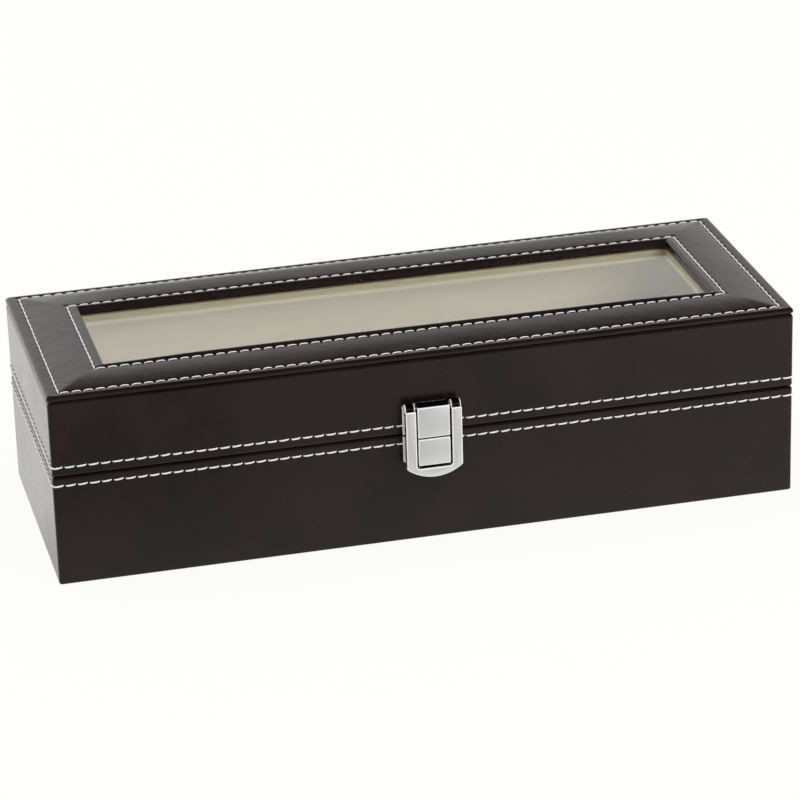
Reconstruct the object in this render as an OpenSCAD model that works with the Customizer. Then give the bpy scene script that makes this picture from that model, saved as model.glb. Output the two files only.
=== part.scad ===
// Watch box: a leather-wrapped board base with lined compartments and lift-out
// cushions, under a hinged lid with a stitched window frame, a glass pane and a
// flip-up hasp. Millimetres: X is the width, -Y is the front and +Z is up.
// The origin is the middle of the underside.

/* [Case] */
// Width of the walls over the leather
case_w = 299.8; // [270:1:340]
// Depth of the walls over the leather
case_d = 109.8; // [104:1:130]
// Height of the base, from the resting plane to its rim
base_h = 45.6; // [40:0.1:60]
// Height of the lid walls, from the lid rim to the top panel
lid_wall_h = 31.4; // [27:0.1:45]
// Thickness of the wrapped top panel of the lid, over its padding
panel_t = 3.1; // [3:0.1:4]
// How far the top panel stands out past the walls
panel_overhang = 0.1; // [0:0.1:2]
// Gap between the base rim and the lid rim
seam_gap = 0.2; // [0.1:0.05:0.6]

/* [Boards and leather] */
// Thickness of the wall boards
board_t = 5; // [4:0.5:7]
// Thickness of the floor board
floor_board_t = 3; // [2:0.5:5]
// Thickness of the leather wrap
leather_t = 1; // [0.6:0.1:1.2]
// Radius of the upright corners
corner_r = 1.2; // [1:0.1:3]
// Radius of the leather where it turns over a rim
rim_r = 1.2; // [0.6:0.1:2]
// Radius of the leather where it turns under the base
foot_r = 1; // [0.8:0.1:2.2]
// Width of the leather margin turned under the base
turn_under = 12; // [8:1:20]
// Thickness of the felt sheet under the base
felt_t = 1; // [0.8:0.1:2]
// Gap between the felt and the leather margin
felt_gap = 0.3; // [0.2:0.1:1]
// Height of the leather margin above the resting plane
foot_lift = 0.1; // [0.1:0.05:0.4]
// Radius of the lid leather where it tucks in under the top panel
tuck_r = 0.6; // [0.3:0.1:0.8]
// Distance of the base's stitch row below the rim
base_stitch_drop = 3.5; // [3:0.1:6]
// Distance of the lid's stitch row above its lower edge
lid_stitch_rise = 4; // [3:0.1:6]
// Width of the channel that a stitch row draws into the leather
channel_w = 1.2; // [0.8:0.1:2]
// Depth of a stitch channel
channel_depth = 0.15; // [0.05:0.05:0.3]

/* [Lining] */
// Thickness of the lining panels
lining_t = 1.5; // [1:0.1:2.5]
// How far the lining stops below the rim
lining_drop = 0.6; // [0.3:0.1:2]
// Number of compartments
places = 6; // [2:1:8]
// Thickness of a divider
divider_t = 2.5; // [2:0.1:4]
// How far the dividers stop below the rim
divider_drop = 4; // [2:0.5:10]

/* [Cushions] */
// Gap between a cushion and the dividers
cushion_gap = 0.6; // [0.4:0.1:1.5]
// Depth of a cushion from front to back
cushion_d = 76; // [60:1:84]
// Height of a cushion
cushion_h = 42; // [34:1:46]
// Radius of a cushion's edges
cushion_r = 12; // [5:1:14]
// Gap under a cushion
cushion_lift = 0.1; // [0.05:0.05:0.3]

/* [Window] */
// Width of the frame at the ends
border_x = 26.4; // [22:0.1:34]
// Width of the frame at the front and back
border_y = 24.4; // [20:0.1:30]
// Inset of the outer stitch line at the ends
outer_stitch_x = 5.1; // [3:0.1:7]
// Inset of the outer stitch line at the front and back
outer_stitch_y = 3.5; // [3:0.1:6]
// Distance from the window to the inner stitch line at the ends
inner_stitch_x = 4.3; // [3:0.1:6]
// Distance from the window to the inner stitch line at the front and back
inner_stitch_y = 3.5; // [3:0.1:6]
// Height of the padding's crown over the slope between the stitch lines
pad_rise = 0.5; // [0.3:0.1:1]
// How much higher the inner stitch line lies than the outer one
inner_rise = 0.8; // [0:0.1:1.2]
// Thickness of the leather on the top panel
cover_t = 0.7; // [0.5:0.1:0.9]
// Radius of the panel's outer edge
panel_edge_r = 1.3; // [0.6:0.1:1.4]
// Radius of the leather at the window's edge
window_edge_r = 1.4; // [0.4:0.1:1.6]
// Radius of the outer stitch line's corners
stitch_corner_r = 1.2; // [1:0.1:2]
// Radius of the window's corners
window_corner_r = 0.8; // [0.5:0.1:1]
// Thickness of the leather round the edges of the frame board
cover_edge_t = 0.8; // [0.5:0.1:1]
// Gap at the mitres of the board and the glass retainer
mitre_gap = 0.05; // [0.02:0.01:0.1]
// Thickness of the glass
glass_t = 2; // [1.5:0.1:3]
// How far the glass runs under the frame
glass_lap = 4; // [2:0.5:8]
// Gap between the glass and the rebate that holds it
glass_gap = 0.2; // [0.1:0.05:0.5]
// Thickness of the glass retainer below the glass
retainer_t = 4; // [2:0.5:6]

/* [Hinges] */
// Distance between the middles of the two hinges
hinge_spacing = 170; // [120:5:220]
// Width of a hinge
hinge_w = 30; // [24:1:40]
// Height of a leaf from the hinge axis
leaf_h = 13; // [11:0.5:16]
// Thickness of a leaf
leaf_t = 1; // [0.8:0.1:1.4]
// Chamfer at the ends of pins, knuckles and barrels
end_chamfer = 0.2; // [0.1:0.05:0.3]
// Radius of a leaf's outer corners
leaf_corner_r = 2; // [1:0.5:3]
// Outer radius of a knuckle
knuckle_r = 2.2; // [1.9:0.1:3]
// Radius of a hinge pin
hinge_pin_r = 1.1; // [0.8:0.05:1.4]
// Width of the middle knuckle
middle_knuckle_w = 10; // [6:0.5:14]
// Gap between knuckles, and between a knuckle and the case
knuckle_gap = 0.3; // [0.2:0.05:0.6]
// Radial running clearance of a pin in its bore
pin_clearance = 0.05; // [0.03:0.01:0.1]
// Distance between the two screws of a leaf
screw_spacing = 18; // [14:1:22]
// Radius of a screw's shank
screw_r = 0.85; // [0.7:0.05:1]
// Radius of a screw's countersunk head
screw_head_r = 1.8; // [1.4:0.1:2.2]
// Depth of a screw's countersunk head
screw_head_t = 0.8; // [0.5:0.05:0.8]
// How far a screw stops short of the wall's inner face
screw_short = 0.8; // [0.5:0.1:1.5]

/* [Latch] */
// Width of the hasp and of its plates
latch_w = 22.6; // [20:0.1:30]
// Width of a hasp rail
rail_w = 4.1; // [3:0.1:6]
// Thickness of the hasp
hasp_t = 2.9; // [2:0.1:4]
// Chamfer along the front edges of the hasp and the plates
edge_chamfer = 0.3; // [0.1:0.05:0.4]
// Height of the hasp's square part, from the rail tops to the bottom corners
rail_h = 24.3; // [22:0.1:28]
// Sag of the hasp's curved lower edge
hasp_sag = 4.1; // [2:0.1:6]
// Thickness of the bar that crosses the bottom of the hasp
bar_t = 1.2; // [0.8:0.1:1.6]
// Height of the bar above the hasp's bottom corners
bar_rise = -0.2; // [-1:0.1:1]
// Radius of the inner corners of the hasp
hasp_inner_r = 1; // [0.5:0.1:2]
// Depth of the plates that stand on the walls
plate_t = 3.8; // [3:0.1:5]
// How far the plates' curved lower edge stays inside the hasp's
plate_inset = 1; // [0.5:0.1:2]
// Width of the thin flange at the sides of each plate's raised part
plate_step = 1.1; // [0.6:0.1:2]
// Thickness of the plates' thin flange
flange_t = 1; // [0.6:0.1:1.2]
// Gap between moving latch pieces
latch_gap = 0.2; // [0.15:0.05:0.4]
// Width of the raised block in the middle of each plate
block_w = 13; // [10:0.1:14]
// Height of the lid's block above the seam
lid_block_h = 13.1; // [11:0.1:16]
// Depth of the base's block below the seam
base_block_h = 11.5; // [9:0.1:12]
// Gap between the two blocks at the seam
block_split = 0.6; // [0.4:0.1:1.2]
// Outer radius of the latch barrel
barrel_r = 1.9; // [1.6:0.1:2.2]
// Radius of the latch pin
latch_pin_r = 0.9; // [0.6:0.05:1]
// How far a prong stops short of the wall's inner face
prong_short = 1.5; // [0.5:0.1:2]
// Radius of a prong
prong_r = 0.8; // [0.6:0.05:1]
// Distance between the two prongs of a plate
prong_spacing = 15; // [10:0.5:18]

/* [Hidden] */
round_fn = 48;
disc_fn = 96;
corner_steps = 4;
arc_steps = 6;
cut = 1;

// Case levels and half sizes
case_x = case_w / 2;
case_y = case_d / 2;
least_corner_r = corner_r / 4;
board_x = case_x - leather_t;
board_y = case_y - leather_t;
inner_x = board_x - board_t;
inner_y = board_y - board_t;
lined_x = inner_x - lining_t;
lined_y = inner_y - lining_t;
floor_z = felt_t;
wall_z = floor_z + floor_board_t;
lining_z = wall_z + lining_t;
base_board_top = base_h - leather_t;
base_lining_top = base_h - lining_drop;
divider_top = base_h - divider_drop;
lid_z = base_h + seam_gap;
lid_board_z = lid_z + leather_t;
panel_z = lid_z + lid_wall_h;
top_z = panel_z + panel_t;

// Compartments and cushions
place_w = (2 * lined_x - (places - 1) * divider_t) / places;
place_pitch = place_w + divider_t;
cushion_w = place_w - 2 * cushion_gap;
cushion_z = lining_z + cushion_lift;

// Top panel
panel_x = case_x + panel_overhang;
panel_y = case_y + panel_overhang;
window_x = panel_x - border_x;
window_y = panel_y - border_y;
crown_steps = 10;
crown_fullness = 0.7;
crown_h = ceil(100 * max([for (k = [0:crown_steps]) crown_rise(k / crown_steps)])) / 100;
pinch_z = top_z - crown_h;
frame_board_top = pinch_z - cover_t;
margin_rise = 0.1;
margin_z = pinch_z + margin_rise;
inner_margin_z = margin_z + inner_rise;
outer_line = 1;
inner_line = 2;
window_line = 3;
pad_margin = 0.1;
panel_under_r = 0.5;
glass_x = window_x + glass_lap;
glass_y = window_y + glass_lap;
glass_z = panel_z - glass_t;
retainer_z = glass_z - retainer_t;

// Hinges
hinge_y = case_y + knuckle_gap + knuckle_r;
hinge_z = base_h + seam_gap / 2;
hinge_bore_r = hinge_pin_r + pin_clearance;
end_knuckle_w = (hinge_w - middle_knuckle_w) / 2 - knuckle_gap;
end_knuckle_x = hinge_w / 2 - end_knuckle_w / 2;
leaf_clear_z = knuckle_r + knuckle_gap;
screw_z = (leaf_h + leaf_clear_z) / 2;
screw_hole_r = screw_r + pin_clearance;
screw_l = board_t + leather_t - screw_short;
hole_end = 0.2;

// Latch
plate_y = -case_y - plate_t;
flange_y = -case_y - flange_t;
raised_w = latch_w - 2 * plate_step;
hasp_y = plate_y - latch_gap;
hasp_front_y = hasp_y - hasp_t;
bar_y = hasp_front_y + bar_t;
block_y = bar_y + latch_gap;
pivot_y = block_y + latch_gap / 2 + barrel_r;
pivot_z = hinge_z + lid_block_h - block_split / 2 - latch_pin_r / 2;
latch_bore_r = latch_pin_r + pin_clearance;
rail_top = pivot_z - latch_gap * 2;
hasp_corner_z = rail_top - rail_h;
hasp_arc_r = (pow(latch_w / 2, 2) + pow(hasp_sag, 2)) / (2 * hasp_sag);
hasp_arc_z = hasp_corner_z - hasp_sag + hasp_arc_r;
opening_w = latch_w - 2 * rail_w;
bar_top = hasp_corner_z + bar_rise;
lid_block_z = hinge_z + block_split / 2;
lid_block_top = hinge_z + lid_block_h;
base_block_top = hinge_z - block_split / 2;
lid_plate_top = pivot_z - barrel_r - latch_gap;
plate_arc_r = hasp_arc_r - plate_inset;
lid_prong_z = (lid_block_z + lid_plate_top) / 2;
base_prong_z = base_block_top - (lid_prong_z - lid_block_z);
prong_l = board_t + leather_t - prong_short;
prong_hole_r = prong_r + pin_clearance;

// ---- Shared shapes -------------------------------------------------------

// One loop of a rounded rectangle at height z, counter-clockwise from above
function rounded_loop(half_x, half_y, r, z) = [
    for (c = [0:3], k = [0:corner_steps])
        let (a = 90 * c + 90 * k / corner_steps,
             sx = (c == 0 || c == 3) ? 1 : -1,
             sy = (c < 2) ? 1 : -1)
        [sx * (half_x - r) + r * cos(a), sy * (half_y - r) + r * sin(a), z]
];

// Skin through a stack of loops: closed into a ring, or capped at both ends
module loft(loops, ring = false) {
    n = len(loops[0]);
    m = len(loops);
    last = ring ? m - 1 : m - 2;
    sides = [
        for (i = [0:last], j = [0:n - 1], upper = [0, 1])
            let (i2 = (i + 1) % m, j2 = (j + 1) % n)
            upper == 0 ? [i * n + j, i2 * n + j, i2 * n + j2] : [i * n + j, i2 * n + j2, i * n + j2]
    ];
    caps = ring ? [] : [[for (j = [0:n - 1]) j], [for (j = [n - 1:-1:0]) (m - 1) * n + j]];
    polyhedron(points = [for (loop = loops, p = loop) p], faces = concat(sides, caps), convexity = 6);
}

// Block with rounded upright corners, its own radius at the foot and the top, and a stitch channel round it
module wrapped_block(half_x, half_y, z0, z1, foot, top, channel_z) {
    foot_loops = [
        for (k = [0:corner_steps])
            let (a = 90 * k / corner_steps, in = foot * (1 - sin(a)))
            rounded_loop(half_x - in, half_y - in, max(corner_r - in, least_corner_r), z0 + foot * (1 - cos(a)))
    ];
    top_loops = [
        for (k = [0:corner_steps])
            let (a = 90 * k / corner_steps, in = top * (1 - cos(a)))
            rounded_loop(half_x - in, half_y - in, max(corner_r - in, least_corner_r), z1 - top * (1 - sin(a)))
    ];
    channel = [
        for (k = [-1:1])
            let (in = k == 0 ? channel_depth : 0)
            rounded_loop(half_x - in, half_y - in, corner_r, channel_z + k * channel_w / 2)
    ];
    loft(concat(foot_loops, channel, top_loops));
}

// Box between two heights, centred on the Z axis
module slab(half_x, half_y, z0, z1) {
    translate([-half_x, -half_y, z0]) cube([2 * half_x, 2 * half_y, z1 - z0]);
}

// Box given by its lowest and highest corners
module block(low, high) {
    translate(low) cube(high - low);
}

// One quarter round of points about a centre
function arc(cx, cy, r, from) = [
    for (k = [0:arc_steps]) let (a = from + 90 * k / arc_steps) [cx + r * cos(a), cy + r * sin(a)]
];

// Outline of a rectangle with rounded corners, centred at the origin
module rounded_outline(w, h, r) {
    x = w / 2 - r;
    y = h / 2 - r;
    polygon(concat(arc(x, y, r, 0), arc(-x, y, r, 90), arc(-x, -y, r, 180), arc(x, -y, r, 270)));
}

// Round bar along X
module bar_x(r, x0, x1) {
    translate([x0, 0, 0]) rotate([0, 90, 0]) cylinder(r = r, h = x1 - x0, $fn = round_fn);
}

// Round bar along X with chamfered ends, turned from its profile
module turned_bar_x(r, x0, x1) {
    long = x1 - x0;
    c = end_chamfer;
    translate([x0, 0, 0]) rotate([0, 90, 0]) rotate_extrude($fn = round_fn)
        polygon([[0, 0], [r - c, 0], [r, c], [r, long - c], [r - c, long], [0, long]]);
}

// Round bar along Y, from y0 to the greater y1
module bar_y(r, y0, y1) {
    translate([0, y1, 0]) rotate([90, 0, 0]) cylinder(r = r, h = y1 - y0, $fn = round_fn);
}

// Four separate strips round the window, mitred at their corners
module mitred_frame(half_x, half_y, width_x, width_y, z0, z1) {
    end_y = half_y - mitre_gap;
    for (s = [-1, 1]) translate([0, 0, z0]) linear_extrude(z1 - z0) {
        polygon([
            [-half_x, s * half_y], [half_x, s * half_y],
            [half_x - width_x, s * (half_y - width_y)], [width_x - half_x, s * (half_y - width_y)]
        ]);
        polygon([
            [s * half_x, -end_y], [s * half_x, end_y],
            [s * (half_x - width_x), end_y - width_y], [s * (half_x - width_x), width_y - end_y]
        ]);
    }
}

// ---- Holes that fasteners share ------------------------------------------

// The two screw places of one leaf; side is 1 on the lid and -1 on the base
module at_leaf_screws(side) {
    for (hinge = [-1, 1], s = [-1, 1])
        translate([hinge * hinge_spacing / 2 + s * screw_spacing / 2, case_y, hinge_z + side * screw_z])
            children();
}

module hinge_screw_holes(side) {
    at_leaf_screws(side) bar_y(screw_hole_r, -screw_l - hole_end, cut);
}

module at_prongs(z) {
    for (s = [-1, 1]) translate([s * prong_spacing / 2, -case_y, z]) children();
}

module prong_holes(z) {
    at_prongs(z) bar_y(prong_hole_r, -cut, prong_l + hole_end);
}

// ---- Base ----------------------------------------------------------------

module base_felt() {
    margin = turn_under + felt_gap;
    color("#1b1a1c") slab(board_x - margin, board_y - margin, 0, felt_t);
}

module base_floor_board() {
    color("#b08a5c") slab(board_x, board_y, floor_z, wall_z);
}

module base_front_board() {
    color("#b08a5c") difference() {
        block([-board_x, -board_y, wall_z], [board_x, -inner_y, base_board_top]);
        prong_holes(base_prong_z);
    }
}

module base_back_board() {
    color("#b08a5c") difference() {
        block([-board_x, inner_y, wall_z], [board_x, board_y, base_board_top]);
        hinge_screw_holes(-1);
    }
}

module base_end_board(side) {
    x = side < 0 ? -board_x : inner_x;
    color("#b08a5c") block([x, -inner_y, wall_z], [x + board_t, inner_y, base_board_top]);
}

module base_leather() {
    color("#2b2322") difference() {
        wrapped_block(case_x, case_y, foot_lift, base_h, foot_r, rim_r, base_h - base_stitch_drop);
        slab(board_x, board_y, floor_z, base_board_top);
        slab(inner_x, inner_y, wall_z, base_h + cut);
        slab(board_x - turn_under, board_y - turn_under, -cut, wall_z);
        hinge_screw_holes(-1);
        prong_holes(base_prong_z);
    }
}

// ---- Lining and dividers -------------------------------------------------

module floor_lining() {
    color("#d8cdb4") slab(inner_x, inner_y, wall_z, lining_z);
}

module long_lining(side, z0, z1) {
    y = side < 0 ? -inner_y : lined_y;
    color("#d8cdb4") block([-inner_x, y, z0], [inner_x, y + lining_t, z1]);
}

module end_lining(side, z0, z1) {
    x = side < 0 ? -inner_x : lined_x;
    color("#d8cdb4") block([x, -lined_y, z0], [x + lining_t, lined_y, z1]);
}

// Covered card with a rounded top edge, between compartments i and i + 1
module divider(i) {
    x = -lined_x + i * place_pitch - divider_t / 2;
    h = divider_top - lining_z;
    half = divider_t / 2;
    color("#d8cdb4") translate([x, lined_y, lining_z]) rotate([90, 0, 0]) linear_extrude(2 * lined_y)
        polygon(concat(
            [[-half, 0], [half, 0]],
            arc(0, h - half, half, 0),
            arc(0, h - half, half, 90)
        ));
}

// Plump pad: rounded outlines seen from the end, the side and above
module cushion(i) {
    x = -lined_x + (i - 0.5) * place_w + (i - 1) * divider_t;
    color("#dccfb2") translate([x, 0, cushion_z + cushion_h / 2]) intersection() {
        translate([0, cushion_d / 2, 0]) rotate([90, 0, 0]) linear_extrude(cushion_d)
            rounded_outline(cushion_w, cushion_h, cushion_r);
        translate([-cushion_w / 2, 0, 0]) rotate([90, 0, 90]) linear_extrude(cushion_w)
            rounded_outline(cushion_d, cushion_h, cushion_r);
        translate([0, 0, -cushion_h / 2]) linear_extrude(cushion_h)
            rounded_outline(cushion_w, cushion_d, cushion_r);
    }
}

// ---- Lid walls -----------------------------------------------------------

module lid_front_board() {
    color("#b08a5c") difference() {
        block([-board_x, -board_y, lid_board_z], [board_x, -inner_y, panel_z]);
        prong_holes(lid_prong_z);
    }
}

module lid_back_board() {
    color("#b08a5c") difference() {
        block([-board_x, inner_y, lid_board_z], [board_x, board_y, panel_z]);
        hinge_screw_holes(1);
    }
}

module lid_end_board(side) {
    x = side < 0 ? -board_x : inner_x;
    color("#b08a5c") block([x, -inner_y, lid_board_z], [x + board_t, inner_y, panel_z]);
}

module lid_leather() {
    color("#2b2322") difference() {
        wrapped_block(case_x, case_y, lid_z, panel_z, rim_r, tuck_r, lid_z + lid_stitch_rise);
        slab(board_x, board_y, lid_board_z, panel_z + cut);
        slab(inner_x, inner_y, lid_z - cut, panel_z);
        hinge_screw_holes(1);
        prong_holes(lid_prong_z);
    }
}

// ---- Window frame --------------------------------------------------------

// Half size of the frame's lines: 0 outer edge, 1 and 2 stitch lines, 3 window edge
function line_x(t) = lookup(t, [
    [0, panel_x], [outer_line, panel_x - outer_stitch_x],
    [inner_line, window_x + inner_stitch_x], [window_line, window_x]
]);
function line_y(t) = lookup(t, [
    [0, panel_y], [outer_line, panel_y - outer_stitch_y],
    [inner_line, window_y + inner_stitch_y], [window_line, window_y]
]);
function line_r(t) = lookup(t, [[0, corner_r], [outer_line, stitch_corner_r], [window_line, window_corner_r]]);
function frame_loop(t, z) = rounded_loop(line_x(t), line_y(t), line_r(t), z);
function edge_loop(inset, z) = rounded_loop(panel_x - inset, panel_y - inset, corner_r, z);
function window_loop(inset, z) = rounded_loop(window_x + inset, window_y + inset, window_corner_r, z);

// Height over the outer stitch line, for a share of the way from it to the inner one
function crown_rise(share) = inner_rise * share + pad_rise * pow(max(sin(180 * share), 0), crown_fullness);

// Height of the padded crown between the two stitch lines
function crown_z(t) = pinch_z + crown_rise(t - outer_line);

module window_frame_board() {
    color("#8d7a5e") mitred_frame(
        panel_x - cover_edge_t, panel_y - cover_edge_t,
        border_x - 2 * cover_edge_t, border_y - 2 * cover_edge_t,
        panel_z, frame_board_top
    );
}

module window_frame_padding() {
    from = outer_line + pad_margin;
    to = inner_line - pad_margin;
    tops = [
        for (k = [0:crown_steps])
            let (t = from + (to - from) * k / crown_steps)
            frame_loop(t, crown_z(t) - cover_t)
    ];
    color("#c9c2b4") loft(
        concat([frame_loop(from, frame_board_top)], tops, [frame_loop(to, frame_board_top)]),
        ring = true
    );
}

module window_frame_leather() {
    outer_edge = concat(
        [edge_loop(panel_under_r, panel_z), edge_loop(0, panel_z + panel_under_r)],
        [for (k = [0:corner_steps])
            let (a = 90 * k / corner_steps)
            edge_loop(panel_edge_r * (1 - cos(a)), margin_z - panel_edge_r * (1 - sin(a)))]
    );
    crown = [
        for (k = [0:crown_steps])
            let (t = outer_line + k / crown_steps)
            frame_loop(t, crown_z(t))
    ];
    window_edge = concat(
        [for (k = [0:corner_steps])
            let (a = 90 - 90 * k / corner_steps)
            window_loop(window_edge_r * (1 - cos(a)), inner_margin_z - window_edge_r * (1 - sin(a)))],
        [window_loop(0, panel_z)]
    );
    color("#2b2322") difference() {
        loft(concat(outer_edge, crown, window_edge), ring = true);
        difference() {
            slab(panel_x - cover_edge_t, panel_y - cover_edge_t, panel_z - cut, frame_board_top);
            slab(window_x + cover_edge_t, window_y + cover_edge_t, panel_z - 2 * cut, top_z);
        }
        window_frame_padding();
    }
}

module glass_pane() {
    color("#cfe0dc", 0.4) slab(glass_x, glass_y, glass_z, panel_z);
}

// Rebated frame glued inside the lid walls, carrying the glass on its ledge
module glass_retainer() {
    color("#d8cdb4") difference() {
        mitred_frame(inner_x, inner_y, inner_x - window_x, inner_y - window_y, retainer_z, panel_z);
        slab(glass_x + glass_gap, glass_y + glass_gap, glass_z, panel_z + cut);
    }
}

// ---- Hinges --------------------------------------------------------------

// Leaf of one hinge; side is 1 for the lid leaf and -1 for the base leaf
module hinge_leaf(hinge, side) {
    own_x = side > 0 ? [0] : [-end_knuckle_x, end_knuckle_x];
    own_w = side > 0 ? middle_knuckle_w : end_knuckle_w;
    plate_h = leaf_h - leaf_clear_z;
    wall_y = case_y - hinge_y;
    color("#c9c9c9") translate([hinge * hinge_spacing / 2, hinge_y, hinge_z]) difference() {
        union() {
            translate([0, wall_y + leaf_t, side * (leaf_clear_z + plate_h / 2)]) rotate([90, 0, 0])
                linear_extrude(leaf_t) rounded_outline(hinge_w, plate_h, leaf_corner_r);
            for (x = own_x) {
                turned_bar_x(knuckle_r, x - own_w / 2, x + own_w / 2);
                block(
                    [x - own_w / 2, wall_y, side > 0 ? 0 : -leaf_clear_z - leaf_corner_r],
                    [x + own_w / 2, wall_y + leaf_t, side > 0 ? leaf_clear_z + leaf_corner_r : 0]
                );
            }
        }
        bar_x(hinge_bore_r, -hinge_w, hinge_w);
        for (s = [-1, 1]) translate([s * screw_spacing / 2, 0, side * screw_z]) {
            bar_y(screw_hole_r, wall_y - cut, wall_y + leaf_t + cut);
            translate([0, wall_y + leaf_t, 0]) rotate([90, 0, 0])
                cylinder(r1 = screw_head_r + pin_clearance, r2 = screw_hole_r, h = screw_head_t, $fn = round_fn);
        }
    }
}

module hinge_pin(hinge) {
    color("#9a9a9a") translate([hinge * hinge_spacing / 2, hinge_y, hinge_z])
        turned_bar_x(hinge_pin_r, -hinge_w / 2, hinge_w / 2);
}

module hinge_screws(side) {
    color("#b0b0b0") at_leaf_screws(side) {
        bar_y(screw_r, -screw_l, leaf_t - screw_head_t / 2);
        translate([0, leaf_t, 0]) rotate([90, 0, 0])
            cylinder(r1 = screw_head_r, r2 = screw_r, h = screw_head_t, $fn = round_fn);
    }
}

// ---- Latch ---------------------------------------------------------------

// Extrudes a front-view outline from y_back forward by depth
module from_front(y_back, depth) {
    translate([0, y_back, 0]) rotate([90, 0, 0]) linear_extrude(depth) children();
}

// Front-view rectangle, centred on x = 0
module upright(w, z0, z1) {
    translate([-w / 2, z0]) square([w, z1 - z0]);
}

// Block centred on x = 0 whose four front edges are chamfered; y runs from y_back forward to y_front
module chamfered_plate(w, z0, z1, y_back, y_front) {
    c = edge_chamfer;
    intersection() {
        translate([-w / 2, 0, 0]) rotate([90, 0, 90]) linear_extrude(w) polygon([
            [y_back, z0], [y_back, z1], [y_front + c, z1],
            [y_front, z1 - c], [y_front, z0 + c], [y_front + c, z0]
        ]);
        translate([0, 0, z0]) linear_extrude(z1 - z0) polygon([
            [-w / 2, y_back], [-w / 2, y_front + c], [c - w / 2, y_front],
            [w / 2 - c, y_front], [w / 2, y_front + c], [w / 2, y_back]
        ]);
    }
}

// Disc whose front rim is chamfered, for the curved lower edges
module chamfered_disc(r, y_back, y_front) {
    c = edge_chamfer;
    translate([0, y_back, hasp_arc_z]) rotate([90, 0, 0]) rotate_extrude($fn = disc_fn)
        polygon([[0, 0], [r, 0], [r, y_back - y_front - c], [r - c, y_back - y_front], [0, y_back - y_front]]);
}

// Plate of width w with chamfered front edges and a curved lower edge cut to a radius
module latch_body(w, r, z1, y_back, y_front) {
    intersection() {
        chamfered_plate(w, hasp_arc_z - r - cut, z1, y_back, y_front);
        chamfered_disc(r, y_back, y_front);
    }
}

module prongs(z) {
    at_prongs(z) bar_y(prong_r, -flange_t, prong_l);
}

module latch_lid_plate() {
    flange_top = pivot_z + latch_gap;
    color("#c8c8c8") difference() {
        union() {
            chamfered_plate(raised_w, lid_block_z, lid_plate_top, -case_y, plate_y);
            chamfered_plate(latch_w, lid_block_z, flange_top, -case_y, flange_y);
            chamfered_plate(block_w, lid_block_z, lid_block_top, -case_y, block_y);
            translate([0, pivot_y, pivot_z]) turned_bar_x(barrel_r, -block_w / 2, block_w / 2);
            prongs(lid_prong_z);
        }
        translate([0, pivot_y, pivot_z]) bar_x(latch_bore_r, -latch_w, latch_w);
    }
}

module latch_base_catch() {
    color("#c8c8c8") union() {
        latch_body(raised_w, plate_arc_r - plate_step, base_block_top, -case_y, plate_y);
        latch_body(latch_w, plate_arc_r, base_block_top, -case_y, flange_y);
        chamfered_plate(block_w, hinge_z - base_block_h, base_block_top, -case_y, block_y);
        prongs(base_prong_z);
    }
}

module latch_hasp() {
    color("#d4d4d4") difference() {
        union() {
            latch_body(latch_w, hasp_arc_r, rail_top, hasp_y, hasp_front_y);
            for (s = [-1, 1]) translate([s * (latch_w - rail_w) / 2, pivot_y, pivot_z])
                turned_bar_x(barrel_r, -rail_w / 2, rail_w / 2);
        }
        translate([0, hasp_y + cut, (bar_top + rail_top) / 2 + cut]) rotate([90, 0, 0])
            linear_extrude(hasp_t + 2 * cut)
                rounded_outline(opening_w, rail_top - bar_top + 2 * cut, hasp_inner_r);
        from_front(hasp_y + cut, hasp_t - bar_t + cut) upright(opening_w, hasp_arc_z - hasp_arc_r - cut, rail_top);
        translate([0, pivot_y, pivot_z]) bar_x(latch_bore_r, -latch_w, latch_w);
    }
}

module latch_pin() {
    color("#9a9a9a") translate([0, pivot_y, pivot_z]) turned_bar_x(latch_pin_r, -latch_w / 2, latch_w / 2);
}

// ---- Nodes ---------------------------------------------------------------

base_felt();
base_floor_board();
base_front_board();
base_back_board();
base_end_board(-1);  // base_left_board
base_end_board(1);  // base_right_board
base_leather();
floor_lining();
long_lining(-1, lining_z, base_lining_top);  // front_lining
long_lining(1, lining_z, base_lining_top);  // back_lining
end_lining(-1, lining_z, base_lining_top);  // left_lining
end_lining(1, lining_z, base_lining_top);  // right_lining
for (i = [1:places - 1]) divider(i);
for (i = [1:places]) cushion(i);
lid_front_board();
lid_back_board();
lid_end_board(-1);  // lid_left_board
lid_end_board(1);  // lid_right_board
lid_leather();
window_frame_board();
window_frame_padding();
window_frame_leather();
glass_pane();
glass_retainer();
long_lining(-1, lid_z + lining_drop, retainer_z);  // lid_front_lining
long_lining(1, lid_z + lining_drop, retainer_z);  // lid_back_lining
end_lining(-1, lid_z + lining_drop, retainer_z);  // lid_left_lining
end_lining(1, lid_z + lining_drop, retainer_z);  // lid_right_lining
hinge_leaf(-1, -1);  // left_hinge_base_leaf
hinge_leaf(-1, 1);  // left_hinge_lid_leaf
hinge_pin(-1);  // left_hinge_pin
hinge_leaf(1, -1);  // right_hinge_base_leaf
hinge_leaf(1, 1);  // right_hinge_lid_leaf
hinge_pin(1);  // right_hinge_pin
hinge_screws(-1);  // hinge_base_screws
hinge_screws(1);  // hinge_lid_screws
latch_lid_plate();
latch_base_catch();
latch_hasp();
latch_pin();
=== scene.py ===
"""A six-place watch box in brown imitation leather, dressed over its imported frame."""

import logging
import math
import random
from collections.abc import Callable, Mapping, Sequence
from dataclasses import dataclass, field
from enum import Enum

import bmesh
import bpy
from mathutils import Matrix, Vector, noise
from mathutils.bvhtree import BVHTree


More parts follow.
